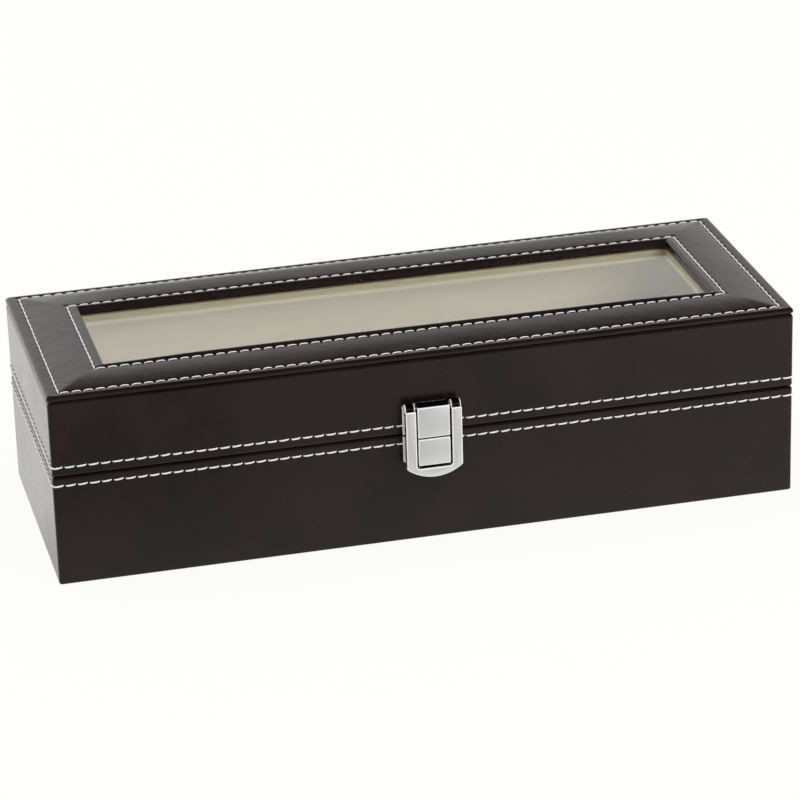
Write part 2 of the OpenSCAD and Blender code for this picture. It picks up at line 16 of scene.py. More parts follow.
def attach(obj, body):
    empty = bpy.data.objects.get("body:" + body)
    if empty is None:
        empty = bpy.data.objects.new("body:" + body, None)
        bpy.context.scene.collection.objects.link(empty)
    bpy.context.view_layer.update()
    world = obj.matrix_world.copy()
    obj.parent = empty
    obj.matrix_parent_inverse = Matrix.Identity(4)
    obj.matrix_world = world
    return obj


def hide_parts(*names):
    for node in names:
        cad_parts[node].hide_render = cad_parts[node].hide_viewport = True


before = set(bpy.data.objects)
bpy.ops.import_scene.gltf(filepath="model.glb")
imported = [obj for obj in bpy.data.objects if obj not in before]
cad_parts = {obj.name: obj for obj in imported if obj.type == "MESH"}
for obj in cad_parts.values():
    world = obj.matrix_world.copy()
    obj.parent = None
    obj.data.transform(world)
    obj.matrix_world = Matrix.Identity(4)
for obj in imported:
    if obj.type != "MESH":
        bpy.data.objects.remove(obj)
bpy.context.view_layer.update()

MM = 0.001
THREAD_MAP = "thread"
SHARP = 35.0
TOUCH = 1e-4
ALONG_BOX = Vector((1, 0, 0))
FORWARD = Vector((0, -1, 0))
PIN_SIDES = 32
BARREL_SIDES = 48
SCREW_SIDES = 36
BORE_CLEAR = 0.05
SIDES = ("front", "back", "left", "right")
Colour = tuple[float, float, float]
Flat = tuple[float, float]
Socket = bpy.types.NodeSocket
Feed = Socket | float | tuple[float, ...]
SOFT_NOISE: Flat = (0.3, 0.7)

log = logging.getLogger("watch_box")


class Body(Enum):
    """The moving bodies that pieces ride on."""

    BASE = "base"
    LID = "lid"
    HASP = "hasp"


class Slot(Enum):
    """The record's names for the finishes of the pieces made here."""

    LEATHER = "leather"
    LINING = "lining_suede"
    CUSHION = "cushion_suede"
    CHROME = "chrome"
    NICKEL = "nickel"


class Face(Enum):
    """Which way the surface under a stitch row looks."""

    WALL = "wall"
    TOP = "top"


def smooth_step(low: float, high: float, value: float) -> float:
    """Ease from 0 at low to 1 at high."""
    share = min(max((value - low) / (high - low), 0.0), 1.0)
    return share * share * (3 - 2 * share)


def mix(first: float, second: float, share: float) -> float:
    """Blend two numbers by a share from 0 to 1."""
    return first + (second - first) * share


def quarter(steps: int = 6) -> list[Flat]:
    """A quarter turn in steps: for each angle, 1 less its cosine and 1 less its sine."""
    turns = [math.radians(90 * k / steps) for k in range(steps + 1)]
    return [(1 - math.cos(a), 1 - math.sin(a)) for a in turns]


def rectangle(x_from: float, x_to: float, low: float, high: float) -> list[Flat]:
    """A rectangle's points (x, z), from the upper left downwards."""
    return [(x_from, high), (x_from, low), (x_to, low), (x_to, high)]


def hoop(centre: Vector, wide: Vector, high: Vector, sides: int) -> list[Vector]:
    """Points once round a centre, from the end of its half width past the end of its half height."""
    turns = [math.tau * k / sides for k in range(sides)]
    return [centre + wide * math.cos(a) + high * math.sin(a) for a in turns]


def stand(name: str, shape: bmesh.types.BMesh) -> bpy.types.Object:
    """Turn a shape into an object of the scene.

    Args:
        name: The name of the object and its mesh.
        shape: The shape, which is used up.

    Returns:
        The object.
    """
    mesh = bpy.data.meshes.new(name)
    shape.to_mesh(mesh)
    shape.free()
    made = bpy.data.objects.new(name, mesh)
    bpy.context.scene.collection.objects.link(made)
    return made


def drop(*helpers: bpy.types.Object) -> None:
    """Remove helper objects and their meshes.

    Args:
        helpers: The objects.
    """
    for helper in helpers:
        mesh = helper.data
        bpy.data.objects.remove(helper)
        bpy.data.meshes.remove(mesh)


def worked(made: bpy.types.Object) -> bmesh.types.BMesh:
    """The shape of an object once its modifiers have worked on it.

    Args:
        made: The object.

    Returns:
        Its shape.
    """
    mesh = bpy.data.meshes.new_from_object(made.evaluated_get(bpy.context.evaluated_depsgraph_get()))
    shape = bmesh.new()
    shape.from_mesh(mesh)
    bpy.data.meshes.remove(mesh)
    return shape


# ---- Finishes --------------------------------------------------------------


class NodeBench:
    """A short way to lay and join the nodes of one tree."""

    def __init__(self, tree: bpy.types.NodeTree, output: str = "ShaderNodeOutputMaterial") -> None:
        """Clear a tree for new nodes.

        Args:
            tree: The node tree of a material or a world.
            output: The type name of its output node.
        """
        self.tree = tree
        self.tree.nodes.clear()
        self.output = self.add(output)
        self.place = self.wire("ShaderNodeTexCoord", "Object", {})

    def add(self, kind: str, **settings: object) -> bpy.types.Node:
        """Lay one node.

        Args:
            kind: The node's type name.
            settings: Attributes to set on it.

        Returns:
            The new node.
        """
        node = self.tree.nodes.new(kind)
        for key, value in settings.items():
            setattr(node, key, value)
        return node

    def feed(self, node: bpy.types.Node, sources: Mapping[str | int, Feed]) -> None:
        """Link or set a node's inputs.

        Args:
            node: The node.
            sources: What feeds each input: another node's output, or a value.
        """
        for key, source in sources.items():
            if isinstance(source, Socket):
                self.tree.links.new(source, node.inputs[key])
            else:
                node.inputs[key].default_value = source

    def wire(
        self, kind: str, output: str | int, sources: Mapping[str | int, Feed], **settings: object
    ) -> Socket:
        """Lay one node, feed its inputs and take one of its outputs.

        Args:
            kind: The node's type name.
            output: The output to take.
            sources: What feeds each input: another node's output, or a value.
            settings: Attributes to set on the node.

        Returns:
            The output.
        """
        node = self.add(kind, **settings)
        self.feed(node, sources)
        return node.outputs[output]

    def stretched(self, scale: Colour) -> Socket:
        """The piece's own coordinates with each axis scaled."""
        return self.wire("ShaderNodeMapping", "Vector", {"Vector": self.place, "Scale": scale})

    def clouds(self, size_mm: float, detail: float = 3.0, over: Socket | None = None) -> Socket:
        """Soft noise in patches of a size, with finer layers in it, over the piece or over coordinates."""
        sources = {"Vector": over or self.place, "Scale": 1 / (size_mm * MM), "Detail": detail}
        return self.wire("ShaderNodeTexNoise", "Fac", sources)

    def pebbles(self, size_mm: float) -> Socket:
        """Rounded cells of a size, as the distance to a cell's edge."""
        sources = {"Vector": self.place, "Scale": 1 / (size_mm * MM)}
        return self.wire("ShaderNodeTexVoronoi", "Distance", sources, feature="DISTANCE_TO_EDGE")

    def spread(self, value: Socket, source: Flat, target: Flat) -> Socket:
        """Map a value from its source range to a target range, held at the ends."""
        ends = zip(("From Min", "From Max", "To Min", "To Max"), (*source, *target))
        return self.wire("ShaderNodeMapRange", "Result", {"Value": value, **dict(ends)})

    def maths(self, operation: str, first: Socket, second: Socket | float) -> Socket:
        """Combine two values by an operation."""
        return self.wire("ShaderNodeMath", "Value", {0: first, 1: second}, operation=operation)

    def times(self, first: Socket, second: Socket | float) -> Socket:
        """Multiply a value by another, or by a number."""
        return self.maths("MULTIPLY", first, second)

    def blend(self, first: Socket, first_share: float, second: Socket, second_share: float) -> Socket:
        """Add two values, each multiplied by its own share."""
        return self.maths("ADD", self.times(first, first_share), self.times(second, second_share))

    def choose(self, share: Socket, first: Socket | float, second: Socket | float) -> Socket:
        """Go from a first value, at share 0, to a second one, at share 1."""
        return self.wire("ShaderNodeMix", 0, {0: share, 2: first, 3: second}, data_type="FLOAT")

    def axis(self, vector: Socket, name: str) -> Socket:
        """The X, Y or Z of a vector."""
        return self.wire("ShaderNodeSeparateXYZ", name, {"Vector": vector})

    def ray(self, kind: str) -> Socket:
        """Whether a ray is of a kind, such as Glossy."""
        return self.wire("ShaderNodeLightPath", f"Is {kind} Ray", {})

    def show(self, share: Socket, first: Socket, second: Socket) -> None:
        """Send the output a first shader, at share 0, that goes over to a second one, at share 1."""
        both = self.wire("ShaderNodeMixShader", "Shader", {0: share, 1: first, 2: second})
        self.feed(self.output, {"Surface": both})


class SkinBench(NodeBench):
    """The bench of a finish, with the shader that its nodes feed."""

    def __init__(self, tree: bpy.types.NodeTree) -> None:
        """Lay the shader and send it to the output.

        Args:
            tree: The material's node tree.
        """
        super().__init__(tree)
        self.shader = self.add("ShaderNodeBsdfPrincipled")
        self.feed(self.output, {"Surface": self.shader.outputs["BSDF"]})

    def colour(self, value: Socket, places: Flat, low: Colour, high: Colour) -> None:
        """Colour the shader by a value.

        Args:
            value: The value to read.
            places: Where on it the two colours stand, from 0 to 1.
            low: The first colour.
            high: The second colour.
        """
        node = self.add("ShaderNodeValToRGB")
        for element, position, shade in zip(node.color_ramp.elements, places, (low, high)):
            element.position = position
            element.color = (*shade, 1.0)
        self.feed(node, {"Fac": value})
        self.feed(self.shader, {"Base Color": node.outputs["Color"]})

    def roughen(self, value: Socket, source: Flat, target: Flat) -> None:
        """Let a value in a source range set the shader's roughness to a target range."""
        self.feed(self.shader, {"Roughness": self.spread(value, source, target)})

    def emboss(self, *layers: tuple[Socket, float]) -> None:
        """Raise the shader's surface by height values.

        Args:
            layers: Each height from 0 to 1, with how far 1 stands over 0 (mm), the lowest layer first.
        """
        below: dict[str | int, Feed] = {}
        for height, depth_mm in layers:
            sources = {"Distance": depth_mm * MM, "Height": height, **below}
            below = {"Normal": self.wire("ShaderNodeBump", "Normal", sources)}
        self.feed(self.shader, below)


@dataclass(frozen=True)
class Finish:
    """A surface finish, made once and shared by its pieces."""

    name: str = "finish"
    slot: Slot | None = None

    @property
    def material(self) -> bpy.types.Material:
        """The finish as a material, made when it is first asked for.

        Returns:
            The material.
        """
        found = bpy.data.materials.get(self.name)
        if found:
            return found
        made = bpy.data.materials.new(self.name)
        made.use_nodes = True
        self.lay(SkinBench(made.node_tree))
        return made

    def lay(self, bench: SkinBench) -> None:
        """Lay the finish's own nodes on a bench."""
        raise NotImplementedError


@dataclass(frozen=True)
class Leather(Finish):
    """Dark brown imitation leather with a satin skin."""

    name: str = "brown_leather"
    slot: Slot | None = Slot.LEATHER
    deep: Colour = (0.0086, 0.0038, 0.0043)
    warm: Colour = (0.0168, 0.0076, 0.0084)
    hide_mm: float = 6.0
    hide_rise: float = 0.10
    pebble_mm: float = 0.85
    pebble_rise: float = 0.009
    pore_mm: float = 0.28
    pore_rise: float = 0.010
    cloud_mm: float = 34.0
    gloss: float = 1.37

    def lay(self, bench: SkinBench) -> None:
        """Lay cloudy browns, a pebbled grain with fine pores, and uneven gloss.

        Args:
            bench: The finish's bench.
        """
        broad = bench.clouds(self.cloud_mm, 4.0)
        fine = bench.clouds(self.pebble_mm * 1.7, 2.0)
        tone = bench.blend(broad, 1.0, fine, 0.35)
        bench.colour(tone, (0.45, 0.90), self.deep, self.warm)
        pebbles = bench.spread(bench.pebbles(self.pebble_mm), (0.0, 0.28), (0.0, 1.0))
        pores = bench.clouds(self.pore_mm, 2.0)
        hide = bench.clouds(self.hide_mm, 3.0)
        bench.emboss((hide, self.hide_rise), (pebbles, self.pebble_rise), (pores, self.pore_rise))
        bench.roughen(bench.blend(fine, 0.5, broad, 0.5), SOFT_NOISE, (0.18, 0.26))
        bench.feed(bench.shader, {"IOR": self.gloss})


@dataclass(frozen=True)
class Thread(Finish):
    """Off-white twisted sewing thread; its twist follows the stitch's own map."""

    name: str = "sewing_thread"
    light: Colour = (0.97, 0.965, 0.95)
    # dark is painted shade for the grooves between the plies; light is the thread's own off-white.
    dark: Colour = (0.80, 0.785, 0.76)
    turns_per_stitch: float = 5.0

    def lay(self, bench: SkinBench) -> None:
        """Lay two plies that wind round the thread, with fuzz between them, and painted shade in the grooves
        between the plies.

        Args:
            bench: The finish's bench.
        """
        lie = bench.wire("ShaderNodeUVMap", "UV", {}, uv_map=THREAD_MAP)
        turn = bench.blend(bench.axis(lie, "X"), self.turns_per_stitch, bench.axis(lie, "Y"), 1.0)
        wave = bench.maths("SINE", bench.times(turn, math.tau), 0.0)
        ply_and_groove_shade = bench.spread(wave, (-1.0, 0.4), (0.0, 1.0))
        fuzz = bench.clouds(0.16, 2.0)
        # Painted shade: the colour goes to the darker tone where the ply height is low, in the grooves.
        bench.colour(ply_and_groove_shade, (0.0, 1.0), self.dark, self.light)
        bench.emboss((fuzz, 0.02), (ply_and_groove_shade, 0.05))
        bench.roughen(fuzz, SOFT_NOISE, (0.50, 0.68))
        bench.feed(bench.shader, {"Sheen Weight": 0.15})


@dataclass(frozen=True)
class Plating(Finish):
    """Plated metal with a fine grain from polishing and a few dull spots."""

    name: str = "chrome_plate"
    slot: Slot | None = Slot.CHROME
    light: Colour = (0.89, 0.89, 0.90)
    dark: Colour = (0.80, 0.80, 0.815)
    gloss: Flat = (0.14, 0.24)
    grain: Colour = (1.0, 1.0, 9.0)

    def lay(self, bench: SkinBench) -> None:
        """Lay brushed streaks under soft clouds of dullness.

        Args:
            bench: The finish's bench.
        """
        streaks = bench.clouds(0.9, 3.0, bench.stretched(self.grain))
        clouds = bench.clouds(7.0, 3.0)
        both = bench.blend(streaks, 0.6, clouds, 0.4)
        bench.colour(both, SOFT_NOISE, self.dark, self.light)
        bench.roughen(both, SOFT_NOISE, (self.gloss[1], self.gloss[0]))
        bench.emboss((streaks, 0.003))
        bench.feed(bench.shader, {"Metallic": 1.0})


@dataclass(frozen=True)
class EdgeHighlight(Finish):
    """A near-white, dull, barely metallic finish for the plating's edges: a painted highlight, with fine
    scuffs in it.
    """

    name: str = "painted_edge_highlight"
    light: Colour = (0.99, 0.99, 0.99)
    dark: Colour = (0.90, 0.90, 0.91)

    def lay(self, bench: SkinBench) -> None:
        """Lay fine scuffs over the near-white painted highlight.

        Args:
            bench: The finish's bench.
        """
        scuffs = bench.clouds(0.35, 3.0)
        # Painted highlight: near-white colour on the edges, with the scuffs varying it a little.
        bench.colour(scuffs, (0.30, 0.62), self.dark, self.light)
        bench.roughen(scuffs, SOFT_NOISE, (0.52, 0.38))
        bench.emboss((scuffs, 0.006))
        bench.feed(bench.shader, {"Metallic": 0.08})


@dataclass(frozen=True)
class Suede(Finish):
    """Short-napped suede cloth whose pile lies in changing directions."""

    name: str = "lining_suede"
    slot: Slot | None = Slot.LINING
    low: Colour = (0.47, 0.41, 0.32)
    high: Colour = (0.64, 0.575, 0.47)
    nap_mm: float = 0.35
    brush_mm: float = 13.0
    sheen: float = 0.25

    def lay(self, bench: SkinBench) -> None:
        """Lay brushed patches of pile over a fine nap.

        Args:
            bench: The finish's bench.
        """
        brushed = bench.clouds(self.brush_mm, 4.0, bench.stretched((1.0, 0.55, 1.0)))
        nap = bench.clouds(self.nap_mm, 3.0)
        tone = bench.blend(brushed, 0.72, nap, 0.28)
        bench.colour(tone, (0.32, 0.68), self.low, self.high)
        bench.emboss((brushed, 0.25), (nap, 0.07))
        bench.roughen(nap, SOFT_NOISE, (0.82, 0.96))
        pile = {"Sheen Weight": self.sheen, "Sheen Roughness": 0.45, "Specular IOR Level": 0.2}
        bench.feed(bench.shader, pile)


@dataclass(frozen=True)
class Board(Finish):
    """Pressed fibreboard with short fibres lying along it."""

    name: str = "fibreboard"
    low: Colour = (0.19, 0.115, 0.055)
    high: Colour = (0.37, 0.245, 0.135)

    def lay(self, bench: SkinBench) -> None:
        """Lay long fibres and darker flecks.

        Args:
            bench: The finish's bench.
        """
        fibres = bench.clouds(1.6, 4.0, bench.stretched((0.22, 0.6, 1.0)))
        flecks = bench.clouds(0.7, 2.0)
        tone = bench.blend(fibres, 0.7, flecks, 0.3)
        bench.colour(tone, (0.33, 0.66), self.low, self.high)
        bench.emboss((tone, 0.08))
        bench.roughen(flecks, SOFT_NOISE, (0.70, 0.88))


@dataclass(frozen=True)
class Felt(Finish):
    """Matted black felt."""

    name: str = "black_felt"
    low: Colour = (0.010, 0.010, 0.011)
    high: Colour = (0.034, 0.033, 0.036)

    def lay(self, bench: SkinBench) -> None:
        """Lay matted fibres in two sizes.

        Args:
            bench: The finish's bench.
        """
        mat = bench.clouds(1.4, 5.0)
        hairs = bench.clouds(0.3, 3.0, bench.stretched((1.0, 0.35, 1.0)))
        tone = bench.blend(mat, 0.5, hairs, 0.5)
        bench.colour(tone, (0.32, 0.68), self.low, self.high)
        bench.emboss((tone, 0.30))
        bench.roughen(hairs, SOFT_NOISE, (0.88, 0.98))
        bench.feed(bench.shader, {"Sheen Weight": 0.1})


@dataclass(frozen=True)
class Foam(Finish):
    """Open-celled pale foam."""

    name: str = "pale_foam"
    low: Colour = (0.42, 0.39, 0.32)
    high: Colour = (0.62, 0.58, 0.49)

    def lay(self, bench: SkinBench) -> None:
        """Lay open cells over a cloudy body.

        Args:
            bench: The finish's bench.
        """
        cells = bench.spread(bench.pebbles(0.7), (0.0, 0.3), (1.0, 0.0))
        body = bench.clouds(9.0, 2.0)
        bench.colour(body, SOFT_NOISE, self.low, self.high)
        bench.emboss((cells, 0.15))
        bench.roughen(cells, (0.0, 1.0), (0.80, 0.94))


@dataclass(frozen=True)
class WindowGlass(Finish):
    """A clear pane with a slight haze that lets the lamps reach what it covers."""

    name: str = "window_glass"
    tone: Colour = (0.985, 0.99, 0.955)
    haze: Flat = (0.10, 0.14)

    def lay(self, bench: SkinBench) -> None:
        """Lay wiped haze over clear glass, and open it to the lamps.

        Args:
            bench: The finish's bench.
        """
        wiped = bench.clouds(16.0, 4.0, bench.stretched((0.35, 1.0, 1.0)))
        tone = (*self.tone, 1.0)
        bench.feed(bench.shader, {"Base Color": tone, "Transmission Weight": 1.0, "IOR": 1.5})
        bench.roughen(wiped, SOFT_NOISE, self.haze)
        bench.emboss((wiped, 0.015))
        lamps = bench.wire("ShaderNodeBsdfTransparent", "BSDF", {"Color": tone})
        bench.show(bench.ray("Shadow"), bench.shader.outputs["BSDF"], lamps)


LEATHER = Leather()
THREAD = Thread()
CHROME = Plating()
NICKEL = Plating(
    name="nickel_plate",
    slot=Slot.NICKEL,
    light=(0.62, 0.59, 0.54),
    dark=(0.50, 0.475, 0.435),
    gloss=(0.20, 0.32),
    grain=(9.0, 1.0, 1.0),
)
# Painted highlight for the latch's edges and collars.
EDGE_HIGHLIGHT = EdgeHighlight()
# Painted shade and painted dark reflection: a near-black plating for latch faces in gaps, on sides and on
# the barrels.
PAINTED_SHADE_PLATE = Plating(
    name="painted_shade_plate",
    light=(0.050, 0.050, 0.053),
    dark=(0.018, 0.018, 0.020),
    gloss=(0.20, 0.32),
    grain=(9.0, 1.0, 1.0),
)
LINING = Suede()
CUSHION_CLOTH = Suede(
    name="cushion_suede",
    slot=Slot.CUSHION,
    low=(0.64, 0.585, 0.485),
    high=(0.85, 0.795, 0.69),
    nap_mm=0.30,
    brush_mm=10.0,
    sheen=0.35,
)
BOARD = Board()
FELT = Felt()
FOAM = Foam()
GLASS = WindowGlass()


# ---- Meshes ----------------------------------------------------------------


class Mould:
    """A mesh being shaped in millimetres, which then becomes a named piece."""

    def __init__(self) -> None:
        """Start with an empty mesh."""
        self.shape = bmesh.new()

    def tube(
        self, rings: Sequence[Sequence[Vector]], capped: bool = True, closed: bool = False
    ) -> list[bmesh.types.BMFace]:
        """Join rings of points, each to the next.

        Args:
            rings: The rings in order, each a closed loop of as many points.
            capped: Whether flat ends close it.
            closed: Whether the last ring joins the first.

        Returns:
            The faces between the rings, ring by ring.
        """
        lines = [[self.shape.verts.new(point) for point in ring] for ring in rings]
        faces = []
        for low, high in zip(lines, lines[1:] + lines[:1] if closed else lines[1:]):
            for i in range(len(low)):
                j = (i + 1) % len(low)
                faces.append(self.shape.faces.new((low[i], low[j], high[j], high[i])))
        if capped and not closed:
            self.shape.faces.new(list(reversed(lines[0])))
            self.shape.faces.new(lines[-1])
        return faces

    def upright_plate(self, outline: Sequence[Flat], y_back: float, y_front: float) -> "Mould":
        """Extrude a front-view outline from back to front.

        Args:
            outline: Points (x, z) in order round it.
            y_back: Where it starts.
            y_front: Where it ends, nearer the front.

        Returns:
            The mould itself.
        """
        back = [self.shape.verts.new((x, y_back, z)) for x, z in outline]
        front = [self.shape.verts.new((x, y_front, z)) for x, z in outline]
        self.shape.faces.new(back)
        self.shape.faces.new(list(reversed(front)))
        for i in range(len(outline)):
            j = (i + 1) % len(outline)
            self.shape.faces.new((back[i], front[i], front[j], back[j]))
        return self

    def lathe(self, profile: Sequence[Flat], start: Vector, along: Vector, sides: int) -> "Mould":
        """Turn a profile round an axis.

        Args:
            profile: Points (distance along, radius) from one end to the other.
            start: Where the axis starts.
            along: Its direction, of length 1.
            sides: How many sides the turned form has.

        Returns:
            The mould itself.
        """
        first = along.orthogonal().normalized()
        second = along.cross(first)
        self.tube([hoop(start + along * reach, first * r, second * r, sides) for reach, r in profile])
        return self

    def soften(
        self, width: float, segments: int = 3, angle: float = 40.0, highlighted: bool = False, clamp: bool = True
    ) -> "Mould":
        """Round the edges where faces meet at more than an angle.

        Args:
            width: The rounding's width.
            segments: How many steps it has.
            angle: The least angle between faces, in degrees.
            highlighted: Whether the rounding takes the piece's second finish, the painted edge highlight.
            clamp: Whether short edges narrow it.

        Returns:
            The mould itself.
        """
        bmesh.ops.recalc_face_normals(self.shape, faces=self.shape.faces)
        limit = math.radians(angle)
        edges = [
            e for e in self.shape.edges
            if len(e.link_faces) == 2 and e.calc_face_angle(0.0) > limit
        ]
        rounded = bmesh.ops.bevel(
            self.shape,
            geom=edges,
            offset=width,
            segments=segments,
            profile=0.5,
            affect="EDGES",
            clamp_overlap=clamp,
        )
        for face in rounded["faces"]:
            # The rounded faces take the painted highlight when asked.
            face.material_index = 1 if highlighted else 0
        return self

    def mark(self, place: int, picked: Callable[[bmesh.types.BMFace], bool]) -> "Mould":
        """Give some faces another of the piece's finishes.

        Args:
            place: Which finish, where 0 is the piece's own.
            picked: Tells whether a face takes it.

        Returns:
            The mould itself.
        """
        bmesh.ops.recalc_face_normals(self.shape, faces=self.shape.faces)
        for face in self.shape.faces:
            if picked(face):
                face.material_index = place
        return self

    def carve(self, tool: "Mould") -> "Mould":
        """Cut another mould's shape out of this one.

        Args:
            tool: The mould that is cut away.

        Returns:
            The mould itself.
        """
        body = self._scratch("carve_body")
        knife = tool._scratch("carve_tool")
        cut = body.modifiers.new("cut", "BOOLEAN")
        cut.operation = "DIFFERENCE"
        cut.solver = "EXACT"
        cut.object = knife
        self.shape = worked(body)
        drop(body, knife)
        return self.merge(TOUCH)

    def merge(self, reach: float) -> "Mould":
        """Merge points that lie within a reach of each other."""
        bmesh.ops.remove_doubles(self.shape, verts=self.shape.verts[:], dist=reach)
        return self

    def add(self, other: "Mould") -> "Mould":
        """Lay another mould's shape beside this one's.

        Args:
            other: The mould to take in.

        Returns:
            The mould itself.
        """
        mesh = bpy.data.meshes.new("joined")
        other.shape.to_mesh(mesh)
        other.shape.free()
        self.shape.from_mesh(mesh)
        bpy.data.meshes.remove(mesh)
        return self

    def _scratch(self, name: str) -> bpy.types.Object:
        """Put the shape in a short-lived object, which the caller drops."""
        bmesh.ops.recalc_face_normals(self.shape, faces=self.shape.faces)
        return stand(name, self.shape)

    def piece(
        self,
        name: str,
        finish: Finish,
        body: Body | str,
        stands_for: Sequence[str] = (),
        crease: float = 50.0,
        trims: Sequence[Finish] = (),
    ) -> bpy.types.Object:
        """Finish the mould as a piece of the box.

        Args:
            name: The piece's name.
            finish: Its finish.
            body: The body it rides on.
            stands_for: The plain nodes that it replaces.
            crease: Faces that meet at more than this angle keep a sharp edge.
            trims: The finishes of marked faces, from place 1.

        Returns:
            The piece.
        """
        bmesh.ops.recalc_face_normals(self.shape, faces=self.shape.faces)
        bmesh.ops.scale(self.shape, vec=(MM, MM, MM), verts=self.shape.verts)
        made = stand(name, self.shape)
        mesh = made.data
        mesh.shade_smooth()
        mesh.set_sharp_from_angle(angle=math.radians(crease))
        for coat in (finish, *trims):
            mesh.materials.append(coat.material)
        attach(made, body.value if isinstance(body, Body) else body)
        if stands_for:
            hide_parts(*stands_for)
        log.info("%s: %d faces, rides on %s", name, len(mesh.polygons), body)
        return made


def dress(finish: Finish, *nodes: str) -> None:
    """Give carried-over nodes a finish.

    Args:
        finish: The finish.
        nodes: The nodes' names.
    """
    for name in nodes:
        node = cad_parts[name]
        if not node.material_slots:
            node.data.materials.append(finish.material)
        for place in node.material_slots:
            place.material = finish.material
        log.info("%s: dressed in %s", name, finish.name)


@dataclass(frozen=True)
class Rim:
    """A rounded rectangle walked in matching steps, so that rims of any size join column by column."""

    long_steps: int
    short_steps: int
    corner_steps: int = 4
    least_r: float = 0.05

    def walk(self, half_x: float, half_y: float, radius: float) -> list[tuple[Flat, Flat]]:
        """Walk once round, from the front left corner to the right.

        Args:
            half_x: Half its width.
            half_y: Half its depth.
            radius: Its corner radius.

        Returns:
            For each step: the point and the way out of it.
        """
        radius = max(radius, self.least_r)
        steps = []
        turns = ((1, -1), (1, 1), (-1, 1), (-1, -1))
        for side, (cx, cy) in enumerate(turns):
            count = self.long_steps if side % 2 == 0 else self.short_steps
            px, py = turns[side - 1]
            start = (px * (half_x - radius), py * (half_y - radius))
            end = (cx * (half_x - radius), cy * (half_y - radius))
            out = ((0, -1), (1, 0), (0, 1), (-1, 0))[side]
            for k in range(count + 1):
                share = k / count
                x = mix(start[0], end[0], share) + out[0] * radius
                y = mix(start[1], end[1], share) + out[1] * radius
                steps.append(((x, y), (float(out[0]), float(out[1]))))
            for k in range(1, self.corner_steps):
                a = math.radians(90 * (side - 1) + 90 * k / self.corner_steps)
                way = (math.cos(a), math.sin(a))
                steps.append(((end[0] + way[0] * radius, end[1] + way[1] * radius), way))
        return steps


@dataclass(frozen=True)
class RowSide:
    """One straight run of a stitch row, in millimetres."""

    start: Vector
    along: Vector
    out: Vector
    length: float
    count: int

    @property
    def step(self) -> float:
        """The pitch from stitch to stitch."""
        return self.length / self.count


@dataclass(frozen=True)
class StitchRow:
    """A row of thread stitches that runs round the box and draws the leather in."""

    half_x: float
    half_y: float
    height: float
    face: Face
    pitch: float = 4.7
    stitch: float = 4.1
    dive: float = 0.55
    thick: float = 0.70
    arch: float = 0.26
    fullness: float = 0.24
    slant: float = 0.12
    groove: float = 0.10
    groove_w: float = 0.75
    dimple: float = 0.17
    dimple_r: float = 0.80
    uneven_long: float = 0.16
    uneven_slant: float = 0.06
    uneven_place: float = 0.05
    end_share: float = 0.72
    flat_wide: float = 1.05
    flat_high: float = 0.92
    near_out: float = 2.5
    near_side: float = 3.0
    near_end: float = 1.5
    back_sink: float = 0.0
    seed: int = 7

    def sides(self) -> list[RowSide]:
        """Lay out the row's runs.

        Returns:
            The four runs, front first.
        """
        turns = ((-1, -1), (1, -1), (1, 1), (-1, 1))
        corners = [Vector((x * self.half_x, y * self.half_y, self.height)) for x, y in turns]
        ways = [Vector((0, -1, 0)), Vector((1, 0, 0)), Vector((0, 1, 0)), Vector((-1, 0, 0))]
        runs = []
        for k, start in enumerate(corners):
            run = corners[(k + 1) % 4] - start
            out = ways[k] if self.face is Face.WALL else Vector((0, 0, 1))
            count = round(run.length / self.pitch)
            runs.append(RowSide(start, run.normalized(), out, run.length, count))
        return runs

    def pull(self, point: Vector) -> float:
        """How far the thread draws the leather in at a point of its surface.

        Args:
            point: The point, in millimetres.

        Returns:
            The depth, in millimetres.
        """
        deepest = 0.0
        for side in self.sides():
            away = point - side.start
            if abs(away.dot(side.out)) > self.near_out:
                continue
            across = away.dot(side.out.cross(side.along))
            reach = away.dot(side.along)
            past = max(-reach, reach - side.length)
            if abs(across) > self.near_side or past >= self.near_end:
                continue
            hole = reach / side.step
            to_hole = (hole - round(hole)) * side.step
            line = self.groove * math.exp(-((across / self.groove_w) ** 2))
            spot = self.dimple * math.exp(-(to_hole**2 + across**2) / self.dimple_r**2)
            deepest = max(deepest, line + spot)
        return deepest

    def thread(self, name: str, body: Body, rings: int = 9, around: int = 8) -> bpy.types.Object:
        """Lay the row's stitches, each an arch that dives into its two holes.

        Args:
            name: The piece's name.
            body: The body it rides on.
            rings: How many rings one stitch has.
            around: How many sides the thread has.

        Returns:
            The row as one piece.
        """
        mould = Mould()
        layer = mould.shape.loops.layers.uv.new(THREAD_MAP)
        chance = random.Random(self.seed)
        for side in self.sides():
            across = side.out.cross(side.along)
            sink = self.back_sink if side.along.x < -0.5 else 0.0
            for k in range(side.count):
                middle = side.start + side.along * (k + 0.5) * side.step - side.out * sink
                long = self.stitch + chance.uniform(-self.uneven_long, self.uneven_long)
                lean = self.slant + chance.uniform(-self.uneven_slant, self.uneven_slant)
                drift = chance.uniform(-self.uneven_place, self.uneven_place)
                lines = []
                for i in range(rings):
                    share = i / (rings - 1)
                    rise = mix(-self.dive, self.arch, math.sin(math.pi * share) ** self.fullness)
                    centre = (
                        middle
                        + side.along * (share - 0.5) * long
                        + side.out * rise
                        + across * (drift + lean * (2 * share - 1))
                    )
                    full = mix(self.end_share, 1.0, math.sin(math.pi * share) ** 0.5)
                    wide = across * self.flat_wide * self.thick / 2 * full
                    high = side.out * self.flat_high * self.thick / 2 * full
                    lines.append(hoop(centre, wide, high, around))
                faces = mould.tube(lines)
                for number, quad in enumerate(faces):
                    ring, place = divmod(number, around)
                    spots = ((ring, place), (ring, place + 1), (ring + 1, place + 1), (ring + 1, place))
                    for loop, (u, v) in zip(quad.loops, spots):
                        loop[layer].uv = (u / (rings - 1), v / around)
        return mould.piece(name, THREAD, body, crease=80.0)


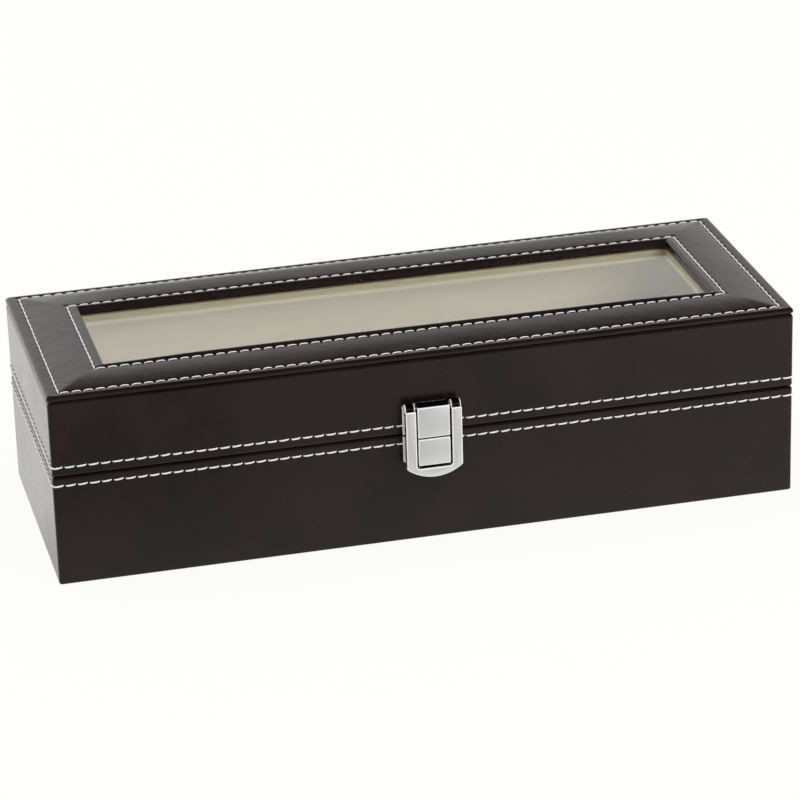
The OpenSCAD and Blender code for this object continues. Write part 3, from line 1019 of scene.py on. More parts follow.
def graded(
    low: float, high: float, coarse: float, near: Sequence[float], fine: float, reach: float
) -> list[float]:
    """Places between two heights, closer together near given lines.

    Args:
        low: The first place.
        high: The last place.
        coarse: The usual step.
        near: The lines.
        fine: The step near them.
        reach: How far from a line the fine step holds.

    Returns:
        The places, in order.
    """
    places = [low]
    while places[-1] < high:
        here = places[-1]
        close = any(abs(here + fine - line) < reach for line in near)
        places.append(min(here + (fine if close else coarse), high))
    if len(places) > 2 and places[-1] - places[-2] < fine / 2:
        places.pop(-2)
    return places


# ---- The case's leather ----------------------------------------------------


@dataclass
class CaseSkin:
    """The leather drawn over the boards of the base or the lid, turned in at its edges (mm)."""

    name: str
    body: Body
    node: str
    low: float
    high: float
    row: StitchRow
    half_x: float = 149.9
    half_y: float = 54.9
    corner_r: float = 1.2
    foot_r: float = 0.0
    rim_r: float = 1.2
    tuck_r: float = 2.0
    skin: float = 1.0
    board: float = 5.0
    turn_under: float = 13.0
    rim_in: float = 0.4
    rim_drop: float = 0.3
    ripple: float = 0.07
    ripple_long: float = 38.0
    ripple_high: float = 21.0
    ripple_fade: float = 6.0
    coarse: float = 2.4
    fine: float = 0.35
    fine_reach: float = 2.4

    def profile(self) -> list[Flat]:
        """The skin's cross-section.

        Returns:
            Points (inset, height) round it, from the inside of its lower edge.
        """
        turn_in = self.skin + self.board
        low_r = self.foot_r or self.rim_r
        under = self.turn_under if self.foot_r else turn_in
        points: list[Flat] = [(under, self.low + self.skin), (under, self.low)]
        points += [(low_r * side, self.low + low_r * rise) for rise, side in quarter()]
        top_r = self.rim_r if self.foot_r else self.tuck_r
        wall = graded(
            self.low + low_r, self.high - top_r, self.coarse, [self.row.height], self.fine, self.fine_reach
        )
        points += [(0.0, z) for z in wall[1:]]
        points += [(top_r * side, self.high - top_r * fall) for side, fall in quarter()[1:]]
        if self.foot_r:
            points += [(turn_in - self.rim_in, self.high), (turn_in, self.high - self.rim_drop)]
            points += [(turn_in, self.high - self.skin), (self.skin, self.high - self.skin)]
        else:
            points.append((self.skin, self.high))
        points.append((self.skin, self.low + self.skin))
        return points

    def build(self) -> bpy.types.Object:
        """Make the skin, with its stitch line drawn in.

        Returns:
            The skin as one piece.
        """
        rim = Rim(
            4 * round(2 * self.half_x / self.row.pitch),
            4 * round(2 * self.half_y / self.row.pitch),
        )
        rows = []
        for inset, height in self.profile():
            loop = []
            walk = rim.walk(self.half_x - inset, self.half_y - inset, self.corner_r - inset)
            for (x, y), way in walk:
                point = Vector((x, y, height))
                if inset < self.rim_r:
                    level = height / self.ripple_high + self.low
                    wave = noise.noise(Vector((x / self.ripple_long, y / self.ripple_long, level)))
                    give = smooth_step(0, self.ripple_fade, min(height - self.low, self.high - height))
                    depth = self.row.pull(point) + self.ripple * give * (0.5 + wave)
                    point -= Vector((way[0], way[1], 0)) * depth
                loop.append(point)
            rows.append(loop)
        mould = Mould()
        mould.tube(rows, closed=True)
        return mould.piece(self.name, LEATHER, self.body, [self.node])


FrameLine = tuple[float, float, float, Callable[[float, float], float]]


@dataclass
class WindowFrameSkin:
    """The padded leather frame round the window, quilted between two stitch lines (mm)."""

    name: str = "window_frame_cover"
    half_x: float = 150.0
    half_y: float = 55.0
    window_x: float = 123.6
    window_y: float = 30.6
    bottom: float = 77.2
    pinch: float = 79.3
    margin_rise: float = 0.1
    inner_rise: float = 1.1
    rise: float = 0.45
    dome: float = 0.7
    crest_rise: float = 0.8
    crest_fall: float = 0.6
    front_crest: float = 0.90
    front_rise: float = 1.22
    back_crest: float = 0.40
    back_rise: float = 1.62
    edge_r: float = 1.3
    under_r: float = 0.6
    bead: float = 0.50
    front_bead: float = 1.05
    window_w: float = 1.1
    window_r: float = 0.8
    window_drop: float = 1.2
    cover: float = 0.7
    corner_r: float = 1.2
    outer_row_r: float = 1.2
    inner_row_r: float = 0.9
    lip_r: float = 0.85
    lip_swell: float = 0.8
    margin_steps: int = 6
    crown_steps: int = 30
    lip_steps: int = 8
    puff: float = 0.09
    puff_long: float = 24.0
    puff_seed: float = 3.7
    corner_fade: float = 42.0
    long_steps: int = 372
    short_steps: int = 138
    corner_steps: int = 5
    lined_places: tuple[int, ...] = (-4, 43, 22, 12)
    outer: StitchRow = field(default_factory=lambda: StitchRow(
        144.9, 51.5, 79.3, Face.TOP, thick=0.54, arch=0.20, back_sink=0.22, seed=21
    ))
    inner: StitchRow = field(default_factory=lambda: StitchRow(
        127.9, 34.1, 80.4, Face.TOP, thick=0.54, arch=0.20, back_sink=0.10, seed=22
    ))

    def crest(self, across: float, place: float, top: float) -> float:
        """Height of a crown whose highest line lies off its middle.

        Args:
            across: From 0 at the outer stitch line to 1 at the inner one.
            place: Where the highest line is.
            top: Its height over the outer stitch line.

        Returns:
            The height over the outer stitch line.
        """
        if across < place:
            return top * math.sin(math.pi / 2 * across / place) ** self.crest_rise
        fall = math.cos(math.pi / 2 * (across - place) / (1 - place))
        return mix(self.inner_rise, top, max(fall, 0.0) ** self.crest_fall)

    def crown(self, across: float, front: float, back: float) -> float:
        """Height of the padding's crown.

        Args:
            across: From 0 at the outer stitch line to 1 at the inner one.
            front: How much of the front strip's own shape applies, from 0 to 1.
            back: How much of the back strip's applies.

        Returns:
            The height.
        """
        swell = max(math.sin(math.pi * across), 0.0) ** self.dome
        even = self.inner_rise * across + self.rise * swell
        height = mix(even, self.crest(across, self.front_crest, self.front_rise), front)
        height = mix(height, self.crest(across, self.back_crest, self.back_rise), back)
        return self.pinch + height

    def lip(self, front: float) -> float:
        """Height of the rolled edge at the window, for a share of the front strip's own shape."""
        return mix(self.bead, self.front_bead, front)

    def lines(self) -> list[FrameLine]:
        """The lines round the frame that make its upper side.

        Returns:
            For each line, from the outer lower edge to the window's: half sizes, corner radius, and
            its height for given shares of the front and the back strip's shapes.
        """
        found: list[FrameLine] = []
        margin = self.pinch + self.margin_rise
        inner_pinch = self.pinch + self.inner_rise

        def level(half_x: float, half_y: float, radius: float, height: float) -> None:
            """Add a line of one height."""
            found.append((half_x, half_y, radius, lambda front, back, z=height: z))

        edge = [(self.under_r * side, self.bottom + self.under_r * rise) for rise, side in quarter(4)]
        edge += [(self.edge_r * side, margin - self.edge_r * fall) for side, fall in quarter()]
        for inset, height in edge:
            level(self.half_x - inset, self.half_y - inset, self.corner_r, height)
        for k in range(1, self.margin_steps):
            share = k / self.margin_steps
            x = mix(self.half_x - self.edge_r, self.outer.half_x, share)
            y = mix(self.half_y - self.edge_r, self.outer.half_y, share)
            level(x, y, self.edge_r, mix(margin, self.pinch, share**3))
        for k in range(self.crown_steps + 1):
            across = k / self.crown_steps
            found.append((
                mix(self.outer.half_x, self.inner.half_x, across),
                mix(self.outer.half_y, self.inner.half_y, across),
                mix(self.outer_row_r, self.inner_row_r, across),
                lambda front, back, u=across: self.crown(u, front, back),
            ))
        for k in range(1, self.lip_steps):
            share = k / self.lip_steps
            x = mix(self.inner.half_x, self.window_x + self.window_w, share)
            y = mix(self.inner.half_y, self.window_y + self.window_w, share)
            swell = math.sin(math.pi / 2 * share) ** self.lip_swell
            found.append((x, y, self.lip_r, lambda front, back, u=swell: inner_pinch + self.lip(front) * u))
        for side, fall in reversed(quarter(self.lip_steps)):
            found.append((
                self.window_x + self.window_w * side,
                self.window_y + self.window_w * side,
                self.window_r,
                lambda front, back, d=self.window_drop * fall: inner_pinch + self.lip(front) - d,
            ))
        level(self.window_x, self.window_y, self.window_r, self.bottom + self.cover)
        level(self.window_x, self.window_y, self.window_r, self.bottom)
        return found

    def build(self) -> list[bpy.types.Object]:
        """Make the frame's skin and its two stitch rows.

        Returns:
            The pieces.
        """
        rim = Rim(self.long_steps, self.short_steps, self.corner_steps)
        upper = self.lines()
        rows = []
        for half_x, half_y, radius, height in upper:
            loop = []
            for (x, y), _ in rim.walk(half_x, half_y, radius):
                along = smooth_step(0, self.corner_fade, (self.half_x - abs(x)) - (self.half_y - abs(y)))
                front, back = (along, 0.0) if y < 0 else (0.0, along)
                z = height(front, back)
                point = Vector((x, y, z))
                padded = smooth_step(self.pinch + 0.1, self.pinch + self.rise, z)
                spot = Vector((x / self.puff_long, y / self.puff_long, self.puff_seed))
                z += self.puff * padded * noise.noise(spot)
                if z > self.bottom + self.cover * 2:
                    z -= max(self.outer.pull(point), self.inner.pull(point))
                loop.append(Vector((x, y, z)))
            rows.append(loop)
        under = []
        height = self.pinch - self.cover
        for place in self.lined_places:
            half_x, half_y, radius, _ = upper[place]
            under.append([Vector((x, y, height)) for (x, y), _ in rim.walk(half_x, half_y, radius)])
        mould = Mould()
        mould.tube(rows + under, closed=True)
        cover = mould.piece(self.name, LEATHER, Body.LID, ["window_frame_leather"])
        return [
            cover,
            self.outer.thread("lid_outer_stitching", Body.LID),
            self.inner.thread("lid_inner_stitching", Body.LID),
        ]


@dataclass
class Case:
    """The leather-covered boards of base and lid, their felt and their stitching (mm)."""

    base_low: float = 0.1
    base_high: float = 45.6
    lid_low: float = 45.8
    lid_high: float = 77.2
    base_row_z: float = 42.1
    lid_row_z: float = 49.8
    half_x: float = 149.9
    half_y: float = 54.9

    def build(self) -> None:
        """Make both skins and their rows, and dress the boards under them."""
        base_row = StitchRow(self.half_x, self.half_y, self.base_row_z, Face.WALL, seed=11)
        lid_row = StitchRow(self.half_x, self.half_y, self.lid_row_z, Face.WALL, seed=12)
        CaseSkin(
            "base_cover", Body.BASE, "base_leather", self.base_low, self.base_high, base_row, foot_r=1.0
        ).build()
        CaseSkin("lid_cover", Body.LID, "lid_leather", self.lid_low, self.lid_high, lid_row).build()
        base_row.thread("base_seam_stitching", Body.BASE)
        lid_row.thread("lid_seam_stitching", Body.LID)
        WindowFrameSkin().build()
        dress(FELT, "base_felt")
        dress(BOARD, *(f"{half}_{side}_board" for half in ("base", "lid") for side in SIDES))
        dress(BOARD, "base_floor_board", "window_frame_board")
        dress(FOAM, "window_frame_padding")


# ---- Inside ----------------------------------------------------------------


@dataclass
class Lining:
    """Suede-covered linings, the window's retainer and the five dividers (mm)."""

    dividers: int = 5
    thick: float = 2.5
    low: float = 5.5
    high: float = 41.6
    half_y: float = 47.4
    place_w: float = 45.383
    inner_x: float = 142.4
    steps: int = 48
    round_steps: int = 12
    slack: float = 0.10
    slack_long: float = 17.0
    slack_high: float = 13.0
    slack_fade: float = 4.0
    slack_seed: float = 5.0

    def divider(self, number: int) -> bpy.types.Object:
        """Make one divider, padded a little and rounded at its top.

        Args:
            number: Its place from the left, from 1.

        Returns:
            The divider.
        """
        centre = -self.inner_x + number * self.place_w + (number - 0.5) * self.thick
        half = self.thick / 2
        side_z = graded(self.low + 1, self.high - half, 3.0, [], 1.0, 1.0)
        section: list[Flat] = [(-half, self.low)]
        section += [(-half, z) for z in side_z]
        for k in range(1, self.round_steps):
            a = math.radians(180 - 180 * k / self.round_steps)
            section.append((half * math.cos(a), self.high - half + half * math.sin(a)))
        section += [(half, z) for z in reversed(side_z)]
        section.append((half, self.low))
        mould = Mould()
        rings = []
        for k in range(self.steps + 1):
            y = mix(-self.half_y, self.half_y, k / self.steps)
            ring = []
            for x, z in section:
                spot = Vector((number * self.slack_seed + x, y / self.slack_long, z / self.slack_high))
                give = smooth_step(0, self.slack_fade, self.half_y - abs(y))
                slack = give * abs(self.slack * noise.noise(spot))
                ring.append(Vector((centre + x - math.copysign(slack, x), y, z - slack * 0.8)))
            rings.append(ring)
        mould.tube(rings)
        return mould.piece(f"divider_cover_{number}", LINING, Body.BASE, [f"divider_{number}"])

    def build(self) -> None:
        """Make the dividers and dress the linings."""
        for number in range(1, self.dividers + 1):
            self.divider(number)
        dress(LINING, *(f"{half}{side}_lining" for half in ("", "lid_") for side in SIDES))
        dress(LINING, "floor_lining", "glass_retainer")
        dress(GLASS, "glass_pane")


@dataclass
class Cushions:
    """Six stuffed cushions, blown up as cloth from one sewn shape (mm)."""

    places: int = 6
    width: float = 44.18
    depth: float = 76.0
    height: float = 42.0
    low: float = 5.6
    place_w: float = 45.383
    divider: float = 2.5
    inner_x: float = 142.4
    seam_in: float = 3.6
    seam_r: float = 0.55
    seam_sunk: float = 0.10
    seam_steps: int = 132
    cord_sides: int = 8
    cord_twist: float = 0.10
    probe: float = 80.0
    shrink: float = 0.90
    cuts: int = 17
    squareness: float = 7.0
    big: float = 12.0
    frames: int = 20
    rest_give: float = 1.2
    side_give: float = 1.0
    dent: float = 0.25
    dent_long: float = 11.0
    dent_seed: float = 17.0
    dent_across: float = 0.15
    pucker: float = 0.45
    pucker_reach: float = 3.0
    pucker_lie: Colour = (3.2, 14.0, 9.0)
    pucker_seed: float = 3.1
    settled: float = 6.0

    def sewn_shape(self) -> bmesh.types.BMesh:
        """The cushion before it is stuffed: a smaller block with rounded edges.

        Returns:
            Its mesh, in millimetres round its middle.
        """
        shape = bmesh.new()
        bmesh.ops.create_cube(shape, size=1.0)
        bmesh.ops.subdivide_edges(shape, edges=shape.edges, cuts=self.cuts, use_grid_fill=True)
        half = Vector((self.width, self.depth, self.height)) * self.shrink / 2
        for vert in shape.verts:
            unit = vert.co * 2
            length = sum(abs(reach) ** self.squareness for reach in unit) ** (1 / self.squareness)
            vert.co = Vector((unit.x * half.x, unit.y * half.y, unit.z * half.z)) / max(length, 0.001)
        return shape

    def stuffed(self) -> bpy.types.Mesh:
        """Blow the sewn shape up as cloth and trim it to its place.

        Returns:
            The cushion's mesh, in millimetres round its middle.
        """
        shape = self.sewn_shape()
        bmesh.ops.scale(shape, vec=(self.big * MM,) * 3, verts=shape.verts)
        cloth = stand("cushion_cloth", shape)
        self.inflate(cloth)
        shape = worked(cloth)
        drop(cloth)
        bmesh.ops.scale(shape, vec=(1 / (self.big * MM),) * 3, verts=shape.verts)
        self.trim(shape)
        result = bpy.data.meshes.new("cushion_trimmed")
        shape.to_mesh(result)
        shape.free()
        return result

    def inflate(self, cloth: bpy.types.Object) -> None:
        """Run the cloth for a moment under air pressure.

        Args:
            cloth: The object to run.
        """
        cloth_run = cloth.modifiers.new("stuffing", "CLOTH")
        settings = cloth_run.settings
        settings.quality = 6
        settings.mass = 0.2
        settings.tension_stiffness = 18
        settings.compression_stiffness = 18
        settings.shear_stiffness = 8
        settings.bending_stiffness = 0.6
        settings.use_pressure = True
        settings.uniform_pressure_force = 4.0
        settings.effector_weights.gravity = 0.0
        cloth_run.point_cache.frame_start = 1
        cloth_run.point_cache.frame_end = self.frames
        for number in range(1, self.frames + 1):
            bpy.context.scene.frame_set(number)

    def trim(self, shape: bmesh.types.BMesh) -> None:
        """Fit a stuffed shape to its place, flat where it rests.

        Args:
            shape: The mesh, in millimetres round its middle.
        """
        half = Vector((self.width, self.depth, self.height)) / 2
        reach = Vector((max(abs(v.co[i]) for v in shape.verts) for i in range(3)))
        log.info("cushion as stuffed: %.1f x %.1f x %.1f mm", *(2 * r for r in reach))
        for vert in shape.verts:
            for i in range(3):
                vert.co[i] *= half[i] / reach[i]
            flat = -half.z + self.rest_give
            if vert.co.z < flat:
                vert.co.z = flat - self.rest_give * math.tanh((flat - vert.co.z) / self.rest_give)
            keep = half.x - self.side_give
            if abs(vert.co.x) > keep:
                over = (abs(vert.co.x) - keep) / self.side_give
                vert.co.x = math.copysign(keep + self.side_give * math.tanh(over), vert.co.x)

    def seams(self, shape: bmesh.types.BMesh, mould: Mould) -> None:
        """Sew a corded seam round each end of the cushion.

        Args:
            shape: The trimmed cushion, round its middle.
            mould: The mould that takes the cords.
        """
        tree = BVHTree.FromBMesh(shape)
        count = self.seam_steps
        for end in (-1, 1):
            x = end * (self.width / 2 - self.seam_in)
            middle = Vector((x, 0, 0))
            ring_points = []
            for k in range(count):
                a = math.tau * k / count
                way = Vector((0, math.cos(a), math.sin(a)))
                hit = tree.ray_cast(middle + way * self.probe, -way)
                ring_points.append((hit[0], hit[1]))
            lines = []
            for k, (point, out) in enumerate(ring_points):
                ahead = ring_points[(k + 1) % count][0] - ring_points[k - 1][0]
                side = out.cross(ahead).normalized()
                twist = 1 + self.cord_twist * math.sin(k * math.tau / 3)
                centre = point - out * self.seam_sunk
                thick = self.seam_r * twist
                lines.append(hoop(centre, side * thick, out * thick, self.cord_sides))
            lines.append(lines[0])
            mould.tube(lines, capped=False)

    def build(self) -> None:
        """Make the six cushions, each a little different."""
        mesh = self.stuffed()
        for number in range(1, self.places + 1):
            shape = bmesh.new()
            shape.from_mesh(mesh)
            if number % 2 == 0:
                bmesh.ops.rotate(shape, verts=shape.verts, matrix=Matrix.Rotation(math.pi, 3, "Z"))
            for vert in shape.verts:
                lie = noise.noise(vert.co / self.dent_long + Vector((number * self.dent_seed, 0, 0)))
                fx, fy, fz = (place / long for place, long in zip(vert.co, self.pucker_lie))
                fold = noise.noise(Vector((fx, fy, fz + number * self.pucker_seed)))
                to_seam = abs(vert.co.x) - self.width / 2 + self.seam_in
                near_seam = math.exp(-((to_seam / self.pucker_reach) ** 2))
                free = smooth_step(-self.height / 2, -self.height / 2 + self.settled, vert.co.z)
                inward = self.dent * (1 + lie) + self.pucker * near_seam * (1 + fold)
                side = Vector((self.dent_across * vert.co.x, vert.co.y, vert.co.z)).normalized()
                vert.co -= side * inward * free
            mould = Mould()
            mould.shape = shape
            self.seams(shape, mould)
            centre = -self.inner_x + (number - 0.5) * self.place_w + (number - 1) * self.divider
            place = (centre, 0, self.low + self.height / 2)
            bmesh.ops.translate(mould.shape, verts=mould.shape.verts, vec=place)
            piece = mould.piece(
                f"stuffed_cushion_{number}", CUSHION_CLOTH, f"cushion_{number}_body", [f"cushion_{number}"],
                crease=180.0,
            )
        bpy.data.meshes.remove(mesh)


# ---- Metalwork -------------------------------------------------------------


def turned(start: Vector, long: float, end: Sequence[Flat], sides: int) -> Mould:
    """A pin or knuckle along the box from its start, with both ends alike: (distance along, radius)."""
    profile = [*end, *((long - reach, radius) for reach, radius in reversed(end))]
    return Mould().lathe(profile, start, ALONG_BOX, sides)


@dataclass
class Latch:
    """The front latch: a lid plate, a base catch, a swinging hasp and its pin (mm)."""

    width: float = 22.6
    raised_w: float = 20.4
    rail_w: float = 4.1
    hasp_back: float = -58.9
    hasp_front: float = -61.8
    bar_back: float = -60.6
    rail_top: float = 57.65
    bar_top: float = 33.15
    arc_r: float = 17.622
    arc_z: float = 46.872
    arc_steps: int = 28
    inner_r: float = 1.0
    wall_y: float = -54.9
    flange_front: float = -55.9
    flange_top: float = 58.25
    plate_front: float = -58.7
    plate_top: float = 55.95
    plate_arc_r: float = 16.622
    raised_arc_r: float = 15.522
    block_w: float = 13.0
    block_front: float = -61.3
    lid_block_low: float = 46.0
    lid_block_high: float = 58.8
    base_block_low: float = 34.2
    base_block_high: float = 45.4
    pivot_y: float = -58.4
    pivot_z: float = 58.05
    barrel_r: float = 1.9
    pin_r: float = 0.9
    bevel: float = 0.45
    plate_bevel: float = 0.2
    raised_bevel: float = 0.22
    least_edge: float = 0.3
    collar: float = 0.4
    slanted: float = 0.5
    facing: float = 0.7

    @property
    def opening(self) -> float:
        """Half the gap between the hasp's rails."""
        return self.width / 2 - self.rail_w

    def arc_outline(self, width: float, radius: float, top: float) -> list[Flat]:
        """A front view with straight sides and a curved lower edge.

        Args:
            width: Its width.
            radius: The curve's radius.
            top: The height of its upper edge.

        Returns:
            Points (x, z), from the upper left downwards.
        """
        half = width / 2
        low_z = self.arc_z - math.sqrt(radius**2 - half**2)
        reach = math.asin(half / radius)
        points = [(-half, top), (-half, low_z)]
        for k in range(1, self.arc_steps):
            a = mix(-reach, reach, k / self.arc_steps)
            points.append((radius * math.sin(a), self.arc_z - radius * math.cos(a)))
        points += [(half, low_z), (half, top)]
        return points

    def box_outline(self, width: float, low: float, high: float) -> list[Flat]:
        """A front view of a rectangle centred on the box."""
        return rectangle(-width / 2, width / 2, low, high)

    def flange(self, outline: Sequence[Flat]) -> Mould:
        """The thin edge of a plate that lies on the leather, in the painted highlight all over but its top,
        which takes painted shade.
        """
        mould = Mould().upright_plate(outline, self.wall_y, self.flange_front).soften(self.plate_bevel)
        # Place 1 is the painted highlight, place 2 the painted shade.
        return mould.mark(1, lambda face: True).mark(2, lambda face: face.normal.z > self.slanted)

    def raised(self, outline: Sequence[Flat]) -> Mould:
        """The raised part of a plate, all in painted shade, for the gaps where the hasp covers it."""
        mould = Mould().upright_plate(outline, self.wall_y, self.plate_front)
        return mould.soften(self.raised_bevel).mark(2, lambda face: True)

    def block(self, low: float, high: float) -> Mould:
        """The square block that stands between the rails, with a painted highlight on its rounded edges and
        painted shade on its sides, top and bottom.

        Args:
            low: Its lower edge.
            high: Its upper edge.

        Returns:
            Its mould.
        """
        outline = self.box_outline(self.block_w, low, high)
        mould = Mould().upright_plate(outline, self.wall_y, self.block_front).soften(self.bevel, highlighted=True)
        # Painted shade on the faces that don't look to the front or back.
        return mould.mark(2, lambda face: face.material_index == 0 and abs(face.normal.y) < self.facing)

    def barrel(self, x_from: float, x_to: float, collar: float) -> Mould:
        """One rolled barrel of the pivot in a painted dark reflection, with a painted highlight on a collar
        at each end.

        Args:
            x_from: Its left end.
            x_to: Its right end.
            collar: The width of its collars in the painted highlight.

        Returns:
            Its mould.
        """
        r = self.barrel_r
        end = [(0.0, self.pin_r + BORE_CLEAR), (0.0, r - 0.3), (0.1, r - 0.1), (0.3, r), (self.collar, r)]
        start = Vector((x_from, self.pivot_y, self.pivot_z))

        def collared(face: bmesh.types.BMFace) -> bool:
            """Whether a face lies in one of the two collars."""
            x = face.calc_center_median().x
            return min(x - x_from, x_to - x) < collar

        # Painted dark reflection over the whole barrel, then the painted highlight on its collars.
        return turned(start, x_to - x_from, end, BARREL_SIDES).mark(2, lambda face: True).mark(1, collared)

    def hasp_mould(self) -> Mould:
        """The swinging hasp's rails and curved bar, before its barrels are added.

        Returns:
            Its mould.
        """
        opening = self.opening
        outline = self.arc_outline(self.width, self.arc_r, self.rail_top)
        r = self.inner_r
        outline.append((opening, self.rail_top))
        outline += [(opening - r * side, self.bar_top + r * fall) for side, fall in quarter()]
        outline += [(-opening + r * side, self.bar_top + r * rise) for rise, side in quarter()]
        outline.append((-opening, self.rail_top))
        gap = self.box_outline(2 * opening, self.arc_z - self.arc_r - 1, self.rail_top + 1)
        relief = Mould().upright_plate(gap, self.hasp_back + 1, self.bar_back)
        mould = Mould().upright_plate(outline, self.hasp_back, self.hasp_front)
        # The rounded edges take the painted highlight.
        mould.carve(relief).merge(self.least_edge).soften(self.bevel, highlighted=True, clamp=False)
        # Painted shade on the rails' and bar's faces that don't look forward: sides, tops, undersides and
        # back.
        return mould.mark(2, lambda face: face.material_index == 0 and face.normal.y > -self.slanted)

    def build(self) -> None:
        """Make the latch's four parts."""
        half = self.width / 2
        # The trims are the painted edge highlight and the painted shade plate.
        trims = (EDGE_HIGHLIGHT, PAINTED_SHADE_PLATE)
        lid = self.flange(self.box_outline(self.width, self.lid_block_low, self.flange_top))
        lid.add(self.raised(self.box_outline(self.raised_w, self.lid_block_low, self.plate_top)))
        lid.add(self.block(self.lid_block_low, self.lid_block_high))
        lid.add(self.barrel(-self.block_w / 2, self.block_w / 2, 0.0))
        lid.piece("latch_lid_block", CHROME, Body.LID, ["latch_lid_plate"], SHARP, trims)

        catch = self.flange(self.arc_outline(self.width, self.plate_arc_r, self.base_block_high))
        catch.add(self.raised(self.arc_outline(self.raised_w, self.raised_arc_r, self.base_block_high)))
        catch.add(self.block(self.base_block_low, self.base_block_high))
        catch.piece("latch_base_block", CHROME, Body.BASE, ["latch_base_catch"], SHARP, trims)

        hasp = self.hasp_mould()
        hasp.add(self.barrel(-half, -self.opening, self.collar))
        hasp.add(self.barrel(self.opening, half, self.collar))
        hasp.piece("hasp_rails", CHROME, Body.HASP, ["latch_hasp"], SHARP, trims)

        dome = [(0.05, 0.45), (0.2, 0.75), (0.4, self.pin_r)]
        pin = turned(Vector((-half, self.pivot_y, self.pivot_z)), self.width, dome, PIN_SIDES)
        pin.piece("latch_pivot_pin", CHROME, Body.LID, ["latch_pin"], SHARP)


